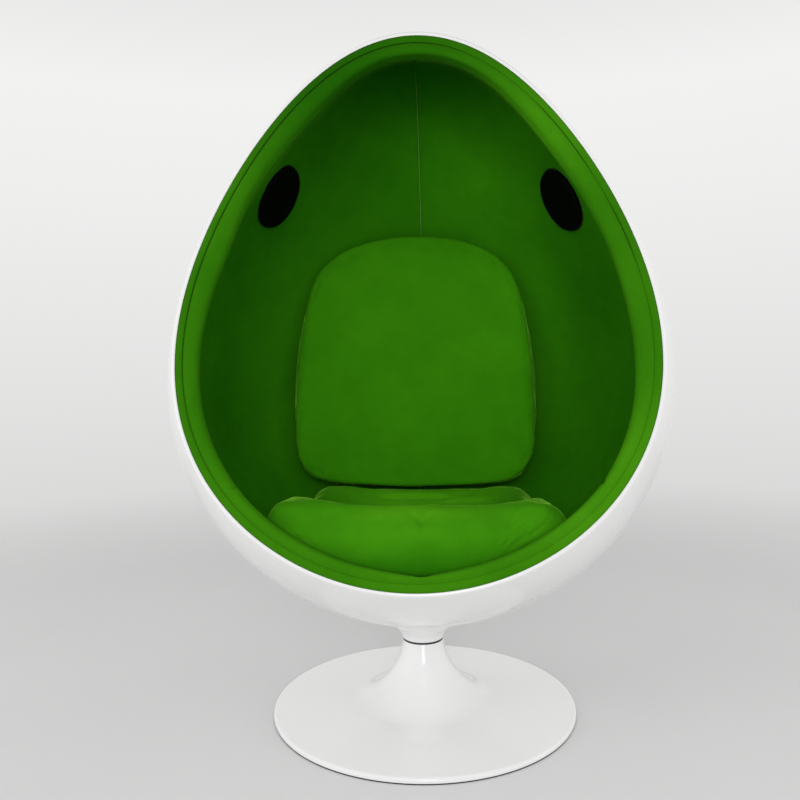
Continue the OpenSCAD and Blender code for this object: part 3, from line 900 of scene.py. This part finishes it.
# the seat cushion: a bucket whose front edge rises into a thick lip with a lobe at each end
seat_plan = Outline([(0, -0.300), (0.12, -0.296), (0.196, -0.272), (0.2405, -0.232), (0.2550, -0.185), (0.2580, -0.08), (0.2585, 0.06), (0.2585, 0.17), (0.240, 0.232), (0.197, 0.278), (0.11, 0.297),
                     (0, 0.300), (-0.11, 0.297), (-0.197, 0.278), (-0.240, 0.232), (-0.2585, 0.17), (-0.2585, 0.06), (-0.2585, -0.08), (-0.2575, -0.185), (-0.244, -0.232), (-0.200, -0.272), (-0.12, -0.296)])


# height of the lip's crest and of the ridge in front of the back cushion, by x
CREST_X = [-0.26, -0.235, -0.213, -0.184, -0.15, -0.114, -0.06, 0.004, 0.07, 0.10, 0.1355, 0.163, 0.19, 0.21, 0.235, 0.26]
CREST_Z = [0.4330, 0.4390, 0.4385, 0.4375, 0.4362, 0.4352, 0.4400, 0.4425, 0.4370, 0.4325, 0.4290, 0.4300, 0.4320, 0.4325, 0.4240, 0.4090]
REAR_X = [-0.27, -0.23, -0.19, -0.143, -0.10, -0.01, 0.08, 0.13, 0.166, 0.195, 0.225, 0.27]
REAR_Z = [0.3860, 0.3985, 0.4130, 0.4160, 0.4125, 0.4030, 0.4080, 0.4175, 0.4190, 0.4060, 0.3875, 0.3760]


def seat_rest(q, z):
    """Depth the seat cushion rests at: on the lining, and close behind the roll at the front."""
    b = behind(q)
    roll = roll_in(np.arctan2(q @ E_UP, q @ E_X)) / 1000 + 0.0030
    return 0.0432 + (roll - 0.0432) * smooth01((0.050 - b) / 0.008) * (z < 0.44)


def seat_field(p):
    q = local(p)
    dep, _ = depth_of(q)
    x, y, z = p[:, 0], p[:, 1], p[:, 2]
    ax = np.abs(x)
    d_plan = seat_plan(x, y)
    d_front = 0.0215 - behind(q)
    front = smooth01((-0.10 - y) / 0.10)
    bowl_t = 0.1445 - 0.004 * bump(ax - 0.02, 0.09) * bump(y - 0.02, 0.12) + 0.0130 * bump(x - 0.004, 0.085) * front
    d_bowl = dep - bowl_t
    crest = np.interp(x, CREST_X, CREST_Z) + 0.10 * (-0.225 - y)
    d_crest = (z - crest) * 0.985
    ridge = np.interp(x, REAR_X, REAR_Z)
    rear = ridge - 0.10 * np.clip(0.200 - y, 0, 0.09) + 0.4 * np.maximum(0.06 - y, 0) - (ridge - 0.3857 + 0.0050 * bump(x, 0.12)) * smooth01((y - 0.212) / 0.022)
    d_rear = (z - rear) * 0.95
    ends = smooth01((ax - 0.15) / 0.06)
    top = smax(smax(d_bowl, d_crest, 0.030 - 0.006 * ends), d_rear, 0.012)
    side = smax(d_plan + 0.016 * smooth01((y - 0.02) / 0.1), d_front, 0.055 - 0.010 * ends * front)
    body = smax(top, side, 0.040 + 0.010 * bump(y + 0.25, 0.1) * (1 - 1.6 * ends) - 0.006 * smooth01((y - 0.05) / 0.1))
    # the lip's flattened middle: a facet that tilts forwards and runs out to both sides in a V
    facet = 0.788 * (z - 0.4100 - 0.155 * np.abs(x - 0.004)) - 0.616 * (y + 0.232)
    body = smax(body, facet, 0.007)
    return smax(body, seat_rest(q, z) - dep, 0.010 - 0.0052 * smooth01((0.060 - behind(q)) / 0.02))


def seat_held(p):
    q = local(p)
    dep, _ = depth_of(q)
    return np.clip((0.058 - dep) / 0.010, 0, 1)


def vnormal_move(ob, amount):
    v, n = coords(ob), normals(ob)
    put(ob, v + n * amount[:, None])


def seat_cushion():
    h = 0.0062
    pts, quads = surface_net(seat_field, (-0.275, -0.315, 0.19), (0.275, 0.32, 0.47), h)
    pts = settle(seat_field, pts, quads)
    ob = make("seat_cushion_velvet", pts, quads)
    fix_normals(ob)
    inflate(ob, 3.0, 0.006, seat_held)
    subdivide(ob)
    v = coords(ob)
    x, y, z = v.T
    ax = np.abs(x)
    up_face = normals(ob)[:, 2]
    a = np.zeros(len(v))
    # soft folds across the slope behind the lip: a long one, one to the right of it and a short one on the left
    for y0, bow, dep_, wid, x0, x1 in ((0.2175, 2.3, 0.0050, 0.0056, -0.105, 0.075), (0.2010, 2.1, 0.0042, 0.0062, 0.020, 0.175), (0.1420, 1.6, 0.0030, 0.0055, -0.110, -0.055), (0.1700, 1.8, 0.0022, 0.0070, -0.085, 0.120)):
        line = y - (y0 - bow * x * x)
        win = smooth01((x - x0) / 0.05) * smooth01((x1 - x) / 0.05) * (up_face > 0.2)
        a += win * (-dep_ * bump(line, wid) + 0.35 * dep_ * (bump(line - 0.013, 0.009) + bump(line + 0.013, 0.009)))
    # small pulled crease in the middle of the lip, with two short branches
    fx = x - 0.0075
    lip = bump(y + 0.242, 0.04) * smooth01((z - 0.380) / 0.012) * smooth01((0.431 - z) / 0.012)
    a -= 0.0030 * bump(fx, 0.0052) * lip
    for sgn in (-1, 1):
        br = (z - 0.4065) - sgn * fx * 0.55
        a -= 0.0022 * bump(br, 0.0052) * smooth01((0.040 - np.abs(fx)) / 0.03) * (sgn * fx > 0) * bump(y + 0.242, 0.04)
    # slanting pulls at the right-hand lobe, fainter ones at the left-hand lobe
    for sgn, amp in ((1, 0.0019), (-1, 0.0005)):
        u = (z - 0.40) * 0.78 - sgn * (x - sgn * 0.2) * 0.62
        win = bump(sgn * x - (0.172 if sgn > 0 else 0.2), 0.040) * bump(z - 0.392, 0.03) * smooth01((-0.17 - y) / 0.03)
        a -= amp * win * (np.sin(2 * math.pi * u / 0.0125 + 2 * np.sin(x * 70)) * 0.6 + 0.4 * np.sin(2 * math.pi * u / 0.0081 + 1.0))
    a += 0.0011 * fbm(v, 16.0, 11.0, 2) + 0.00045 * fbm(v, 55.0, 12.0, 2)
    vnormal_move(ob, a)
    v = coords(ob)
    lid = 0.3855 - 0.0050 * bump(v[:, 0], 0.12)
    over = (v[:, 1] > 0.232) & (v[:, 2] > lid)
    v[over, 2] = (lid + (v[:, 2] - lid) * 0.2)[over]
    q = local(v)
    dep, _ = depth_of(q)
    put(ob, world(at_depth(q, np.maximum(dep, seat_rest(q, v[:, 2]) - 0.0006))))
    return ob


seat = finish_piece(seat_cushion(), "velvet_seat", "pod", "seat_cushion")

# the back cushion: a contoured pad with a gently hollow face, lying against the rear wall
back_plan = Outline([(-0.018, 0.2765), (-0.078, 0.2725), (-0.139, 0.2580), (-0.196, 0.2305), (-0.237, 0.190), (-0.2595, 0.139), (-0.2735, 0.077), (-0.2835, 0.0), (-0.2895, -0.085), (-0.2910, -0.165),
                     (-0.2880, -0.224), (-0.2735, -0.268), (-0.2435, -0.2960), (-0.197, -0.3085), (-0.110, -0.3175), (-0.018, -0.3245), (0.080, -0.3220), (0.167, -0.3130), (0.211, -0.297), (0.2375, -0.266),
                     (0.2500, -0.224), (0.2530, -0.165), (0.2525, -0.085), (0.2485, 0.0), (0.2395, 0.077), (0.2255, 0.139), (0.2010, 0.190), (0.1595, 0.2305), (0.1040, 0.2580), (0.042, 0.2725)])
BACK_X, BACK_Y, BEND = -0.018, 0.238, 1.2


def back_field(p):
    q = local(p)
    dep, _ = depth_of(q)
    r = np.hypot(q[:, 0] - BACK_X, q[:, 1] - (BACK_Y - BEND))
    swell = 0.006 * smooth01(-back_plan(q[:, 0], q[:, 2]) / 0.14)
    d_face = BEND + 0.0040 - swell - r
    d_rear = r - (BEND + 0.0885)
    d_out = back_plan(q[:, 0], q[:, 2])
    body = smax(d_out, d_face, 0.0085)
    body = smax(body, d_rear, 0.016)
    body = smax(body, 0.0432 - dep, 0.010)
    return smax(body, 0.3872 - 0.0050 * bump(p[:, 0], 0.12) - p[:, 2], 0.0125)


def back_held(p):
    q = local(p)
    dep, _ = depth_of(q)
    r = np.hypot(q[:, 0] - BACK_X, q[:, 1] - (BACK_Y - BEND))
    return np.maximum(np.clip((0.056 - dep) / 0.010, 0, 1), np.clip((r - BEND - 0.072) / 0.010, 0, 1))


def back_cushion():
    h = 0.0062
    pts, quads = surface_net(back_field, (-0.31, 0.18, 0.37), (0.28, 0.42, 1.03), h)
    pts = settle(back_field, pts, quads)
    ob = make("back_cushion_velvet", pts, quads)
    fix_normals(ob)
    inflate(ob, 3.0, 0.005, back_held)
    put(ob, keep_out(coords(ob), 0.0430, 0.02))
    subdivide(ob)
    v = coords(ob)
    q = local(v)
    r = np.hypot(q[:, 0] - BACK_X, q[:, 1] - (BACK_Y - BEND))
    d_out = back_plan(q[:, 0], q[:, 2])
    # one joining seam round the middle of the side
    a = -0.0014 * bump(r - BEND - 0.048, 0.0024) * smooth01((d_out + 0.014) / 0.008)
    a += 0.0005 * (bump(r - BEND - 0.0425, 0.003) + bump(r - BEND - 0.0535, 0.003)) * smooth01((d_out + 0.014) / 0.008)
    a += 0.0012 * fbm(v, 8.0, 21.0, 2) + 0.0005 * fbm(v, 30.0, 22.0, 2)
    vnormal_move(ob, a)
    v = coords(ob)
    v[:, 2] = np.maximum(v[:, 2], 0.3868 - 0.0050 * bump(v[:, 0], 0.12))
    put(ob, keep_out(v, 0.0427, 0.02))
    return ob


back = finish_piece(back_cushion(), "velvet_back", "pod", "back_cushion")


# ---------------------------------------------------------------- speakers and control panel
def dome(r):
    return 0.0146 - 0.0034 * (r / 0.065) ** 2


def grille_mesh(name, fr):
    """Perforated dome: hexagonal cells with round holes, closed front to back."""
    p, hole, reach, thick = 0.0042, 0.00132, 0.0612, 0.0009
    pts, keys, faces = [], {}, []

    def vert(x, y, layer):
        k = (round(x * 1e6), round(y * 1e6), layer)
        if k not in keys:
            keys[k] = len(pts)
            pts.append((x, y, dome(math.hypot(x, y)) - layer * thick))
        return keys[k]

    n = int(reach / p) + 2
    for j in range(-n - 4, n + 5):
        for i in range(-2 * n, 2 * n):
            cx, cy = (i + 0.5 * (j % 2)) * p, j * p * math.sqrt(3) / 2
            if math.hypot(cx, cy) > reach:
                continue
            for layer in (0, 1):
                c = [vert(cx + p / math.sqrt(3) * math.cos(math.radians(30 + 60 * k)), cy + p / math.sqrt(3) * math.sin(math.radians(30 + 60 * k)), layer) for k in range(6)]
                h = [vert(cx + hole * math.cos(math.radians(30 + 30 * k)), cy + hole * math.sin(math.radians(30 + 30 * k)), layer) for k in range(12)]
                for k in range(6):
                    a, b = c[k], c[(k + 1) % 6]
                    h0, h1, h2 = h[2 * k], h[2 * k + 1], h[(2 * k + 2) % 12]
                    tris = [(a, b, h1), (a, h1, h0), (b, h2, h1)]
                    faces += tris if layer == 0 else [t[::-1] for t in tris]
    count = set()
    for f in faces:
        for a, b in zip(f, f[1:] + f[:1]):
            count.add((a, b))
    other = {}
    for (x, y, layer), i in keys.items():
        other[i] = keys[(x, y, 1 - layer)]
    top = {i for (x, y, layer), i in keys.items() if layer == 0}
    faces += [(b, a, other[a], other[b]) for (a, b) in list(count) if (b, a) not in count and a in top]
    ob = make(name, np.array(pts), faces)
    place(ob, fr)
    return sharp(fix_normals(ob), 40)


def bezel(name, fr):
    prof = [(60.2, 11.3), (60.2, 12.5), (60.5, 13.1), (61.2, 13.45), (62.3, 13.35), (63.8, 12.8), (65.3, 11.9), (66.4, 10.8), (67.05, 9.5), (67.3, 8.0), (67.3, 6.9), (67.0, 6.6), (65.6, 6.6),
            (65.5, 8.6), (64.9, 9.8), (63.6, 10.7), (61.8, 11.2)]
    ob = revolve(name, [(r / 1000, z / 1000) for r, z in prof], 160, close=True)
    place(ob, fr)
    return sharp(fix_normals(ob), 50)


for side in ("left", "right"):
    finish_piece(grille_mesh("speaker_mesh_" + side, SPEAKER[side]), "speaker_black", "pod", "speaker_grille_" + side)
    finish_piece(bezel("speaker_bezel_" + side, SPEAKER[side]), "speaker_black", "pod", "speaker_grille_" + side)

KNOB_AT, BUTTON_AT = (-0.010, -0.015), (0.014, 0.012)


def shift_xy(ob, at):
    v = coords(ob)
    put(ob, v + np.array([at[0], at[1], 0]))
    return ob


def knob():
    """Low knob with a ribbed side, a dished top and a pointer groove."""
    n, ribs = 240, 30
    prof = [(0.0, 6.7), (7.0, 6.7), (9.4, 6.7), (10.2, 6.9), (10.7, 7.4), (10.85, 8.2), (10.8, 9.6), (10.7, 11.2), (10.55, 12.8), (10.4, 13.7), (10.0, 14.5), (9.4, 14.9), (8.6, 15.0), (7.9, 14.85), (7.2, 14.6), (5.0, 14.45), (2.5, 14.4), (0.0, 14.4)]
    ang = np.linspace(0, 2 * math.pi, n, endpoint=False)
    verts, start = [], []
    for r, z in prof:
        start.append(len(verts))
        if r == 0:
            verts.append((0, 0, z))
            continue
        depth = 0.55 * math.exp(-(((z - 10.6) / 3.4) ** 4)) if r > 9.9 else 0.0
        for t in ang:
            rr = r - depth * (0.5 - 0.5 * math.cos(ribs * t)) ** 2
            zz = z
            if 2.4 < r < 9.7 and z > 14.2:
                zz -= 0.5 * math.exp(-((r * math.sin(t) / 0.55) ** 4)) * (math.cos(t) > 0) * (r > 4.9)
            verts.append((rr * math.cos(t), rr * math.sin(t), zz))
    faces = []
    for i in range(len(prof) - 1):
        a, b = start[i], start[i + 1]
        for j in range(n):
            k = (j + 1) % n
            if prof[i][0] == 0:
                faces.append((a, b + k, b + j))
            elif prof[i + 1][0] == 0:
                faces.append((a + j, a + k, b))
            else:
                faces.append((a + j, a + k, b + k, b + j))
    ob = make("knob_ribbed", np.array(verts) / 1000, faces)
    return sharp(fix_normals(place(shift_xy(ob, KNOB_AT), PANEL)), 55)


def button():
    prof = [(0.0, 4.3), (5.6, 4.3), (5.9, 4.6), (5.95, 7.4), (5.8, 8.0), (5.35, 8.35), (4.8, 8.4), (4.2, 8.25), (3.2, 8.05), (1.6, 7.95), (0.0, 7.92)]
    ob = revolve("button_dished", [(r / 1000, z / 1000) for r, z in prof], 96)
    return sharp(fix_normals(place(shift_xy(ob, BUTTON_AT), PANEL)), 50)


finish_piece(knob(), "knob_black", "knob", "volume_knob")
finish_piece(button(), "button_grey", "button", "power_button")
for name, width in (("control_panel", 0.0007), ("audio_socket", 0.0003), ("power_inlet", 0.0003), ("panel_screws", 0.0003), ("thrust_washer", 0.0004), ("edge_gasket", 0.0005)):
    b = nodes[name].modifiers.new("soft_edge", "BEVEL")
    b.width, b.segments, b.limit_method, b.angle_limit = width, 2, "ANGLE", math.radians(40)

# ---------------------------------------------------------------- pedestal and collar
NECK_Z, NECK_R, FOOT_R = 0.1315, 0.039, 0.290


def bez(p, t):
    return tuple((1 - t) ** 3 * p[0][i] + 3 * (1 - t) ** 2 * t * p[1][i] + 3 * (1 - t) * t * t * p[2][i] + t**3 * p[3][i] for i in (0, 1))


def bez_n(p, t):
    d = [3 * (1 - t) ** 2 * (p[1][i] - p[0][i]) + 6 * (1 - t) * t * (p[2][i] - p[1][i]) + 3 * t * t * (p[3][i] - p[2][i]) for i in (0, 1)]
    n = math.hypot(*d)
    return (-d[1] / n, d[0] / n)


FLARE = [(0.039, 0.1315), (0.0445, 0.081), (0.090, 0.0262), (0.140, 0.02138)]


def pedestal():
    top = [(0.0352, NECK_Z), (0.0374, NECK_Z)] + arc(0.0376, NECK_Z - 0.0014, 0.0014, 75, 5, 4)
    outer = [bez(FLARE, 0.028 + (1 - 0.028) * i / 64) for i in range(0, 65)]
    slope = (0.0105 - 0.0225) / (0.286 - 0.125)
    line = [(0.140 + (0.284 - 0.140) * i / 24, 0.0225 + slope * (0.015 + (0.284 - 0.140) * i / 24)) for i in range(1, 25)]
    edge = [(0.2858, 0.01045), (0.2872, 0.0101), (0.2884, 0.0094), (0.2893, 0.0084), (0.2898, 0.0071), (0.29, 0.0056), (0.29, 0.0032), (0.28985, 0.0024), (0.2895, 0.002), (0.28935, 0.0022), (0.2893, 0.004)]
    under = [(0.278, 0.004), (0.278, 0.0225 + slope * (0.278 - 0.125) - 0.004)]
    inner = []
    for i in range(40, -1, -1):
        p, n = bez(FLARE, 0.03 + 0.97 * i / 40), bez_n(FLARE, 0.03 + 0.97 * i / 40)
        inner.append((p[0] - 0.004 * abs(n[0]), p[1] - 0.004 * abs(n[1])))
    return revolve("pedestal_casting", top + outer + line + edge + under + inner, 256, close=True)


finish_piece(pedestal(), "pedestal_white", "foot", "pedestal")

COLLAR_Z = NECK_Z + 0.003
COLLAR = [(0.039, COLLAR_Z), (0.040, COLLAR_Z + 0.009), (0.046, COLLAR_Z + 0.0175), (0.058, COLLAR_Z + 0.028)]


def collar():
    """Flared collar that ends on the shell's skin all round."""
    n, k = 192, 30
    prof = np.array([bez(COLLAR, 0.03 + 0.97 * i / 60) for i in range(61)] + [(0.058 + 0.008 * i / 20, COLLAR_Z + 0.028 + 0.015 * i / 20) for i in range(1, 21)])
    lip = arc(0.0376, COLLAR_Z + 0.0014, 0.0014, -90, -5, 5)
    ang = np.linspace(0, 2 * math.pi, n, endpoint=False)
    rows = [[(r * math.cos(a), r * math.sin(a), z) for a in ang] for r, z in [(0.0206, COLLAR_Z)] + lip]
    grid = []
    for a in ang:
        p = np.stack([prof[:, 0] * math.cos(a), prof[:, 0] * math.sin(a), prof[:, 1]], -1)
        dep, _ = depth_of(local(p))
        i = int(np.argmax(dep > 0.0004)) if (dep > 0.0004).any() else len(p) - 1
        s_end = i - (dep[i] - 0.0004) / max(dep[i] - dep[i - 1], 1e-9) if i else 0
        s = np.linspace(0, s_end, k)
        grid.append(np.stack([np.interp(s, np.arange(len(p)), p[:, c]) for c in range(3)], -1))
    rows += [[tuple(grid[j][i]) for j in range(n)] for i in range(k)]
    top = np.array(rows[-1])
    for sh in (0.8, 0.6, 0.38):
        q = local(np.stack([top[:, 0] * sh, top[:, 1] * sh, top[:, 2]], -1))
        w = world(at_depth(q, 0.0004))
        rows.append([tuple(c) for c in w])
    v = np.array([c for r in rows for c in r])
    m = len(rows)
    f = ring_faces(m, n)
    f += [((m - 1) * n + j, (m - 1) * n + (j + 1) % n, (j + 1) % n, j) for j in range(n)]
    return fix_normals(make("collar_casting", v, f))


finish_piece(collar(), "pedestal_white", "pod", "shell_collar")

# ---------------------------------------------------------------- floor, light, camera
floor = make("floor", [(-60, -60, 0), (60, -60, 0), (60, 60, 0), (-60, 60, 0)], [(0, 1, 2, 3)])
fm, fnt, fb = material("floor_pale", (0.75, 0.745, 0.745), rough=0.85)
fb.inputs["Specular IOR Level"].default_value = 0.1
fco = node(fnt, "ShaderNodeTexCoord").outputs["Object"]
fn = noise_node(fnt, fco, 1.3, 3.0, 0.5)
fnt.links.new(ramp(fnt, fn, [(0.3, (0.73, 0.725, 0.725)), (0.7, (0.76, 0.753, 0.753))]), fb.inputs["Base Color"])
dist = node(fnt, "ShaderNodeVectorMath", operation="LENGTH")
fnt.links.new(fco, dist.inputs[0])
span = node(fnt, "ShaderNodeMapRange", interpolation_type="SMOOTHSTEP")
for key, value in (("From Min", 0.9), ("From Max", 3.2), ("To Min", 1.0), ("To Max", 0.0)):
    span.inputs[key].default_value = value
fnt.links.new(dist.outputs["Value"], span.inputs["Value"])
fnt.links.new(span.outputs["Result"], fb.inputs["Alpha"])
floor.data.materials.append(fm)

world_ = bpy.data.worlds.new("studio")
scene.world = world_
world_.use_nodes = True
wnt = world_.node_tree
bg = wnt.nodes["Background"]
sep = node(wnt, "ShaderNodeSeparateXYZ")
wnt.links.new(node(wnt, "ShaderNodeTexCoord").outputs["Generated"], sep.inputs[0])


def span_of(socket, lo, hi, kind="SMOOTHSTEP"):
    n = node(wnt, "ShaderNodeMapRange", interpolation_type=kind)
    n.inputs["From Min"].default_value, n.inputs["From Max"].default_value = lo, hi
    wnt.links.new(socket, n.inputs["Value"])
    return n.outputs["Result"]


def grey(v):
    return (v, v * 0.997, v * 0.993)


# a pale studio: bright behind the chair, softer overhead, a large soft source in front on the left
level = ramp(wnt, span_of(sep.outputs["Z"], -1, 1, "LINEAR"), [(0.30, grey(0.62)), (0.35, grey(0.645)), (0.415, grey(0.694)), (0.478, grey(0.76)), (0.5435, grey(0.813)), (0.605, grey(0.86)), (0.665, grey(0.89)), (0.80, grey(0.65)), (1.0, grey(0.60))])
high = span_of(sep.outputs["Z"], 0.35, 0.65)
front = mix(wnt, span_of(sep.outputs["X"], -0.3, 0.3), (0.80,) * 3, (0.43,) * 3)
front = mix(wnt, high, front, (0.64,) * 3)
wnt.links.new(mix(wnt, span_of(sep.outputs["Y"], 0.0, -0.5), level, front), bg.inputs["Color"])
bg.inputs["Strength"].default_value = 1.0


def area(name, at, to, size, power, size_y=None, color=(1, 1, 1), glossy=False, diffuse=True):
    d = bpy.data.lights.new(name, "AREA")
    d.energy, d.size, d.color = power, size, color
    if size_y:
        d.shape, d.size_y = "RECTANGLE", size_y
    o = bpy.data.objects.new(name, d)
    o.location = at
    o.rotation_mode = "QUATERNION"
    o.rotation_quaternion = (Vector(to) - Vector(at)).to_track_quat("-Z", "Y")
    o.visible_camera = False
    o.visible_glossy, o.visible_diffuse = glossy, diffuse
    scene.collection.objects.link(o)
    return o


area("key", (0.1, -3.6, 1.5), (0, 0, 0.6), 1.6, 37, size_y=1.0)
area("strip", (0.12, -3.2, 0.75), (0, 0, 0.2), 0.7, 12, size_y=1.5, glossy=True, diffuse=False)
for side in (-1, 1):
    area("low_side", (2.3 * side, -0.7, 0.85), (0, 0, 0.45), 1.2, 9.0)

CAM = np.array([0.04535, -1.45868, 0.65956])
YAW, PITCH, ROLL, FPX = 0.03108 + 0.02485, 0.04376, -0.01874, 759.92
fw = np.array([-math.sin(YAW) * math.cos(PITCH), math.cos(YAW) * math.cos(PITCH), -math.sin(PITCH)])
rt = np.array([math.cos(YAW), math.sin(YAW), 0.0])
up = np.cross(rt, fw)
right = rt * math.cos(ROLL) + up * math.sin(ROLL)
above = -rt * math.sin(ROLL) + up * math.cos(ROLL)
cam_data = bpy.data.cameras.new("camera")
cam_data.sensor_fit = "AUTO"
cam_data.sensor_width = 36.0
cam_data.lens = 36.0 * FPX / 800.0
cam_data.clip_start, cam_data.clip_end = 0.02, 200
cam = bpy.data.objects.new("camera", cam_data)
scene.collection.objects.link(cam)
cam.matrix_world = Matrix(
    ((right[0], above[0], -fw[0], CAM[0]), (right[1], above[1], -fw[1], CAM[1]), (right[2], above[2], -fw[2], CAM[2]), (0, 0, 0, 1))
)
scene.camera = cam
scene.view_settings.view_transform = "Standard"
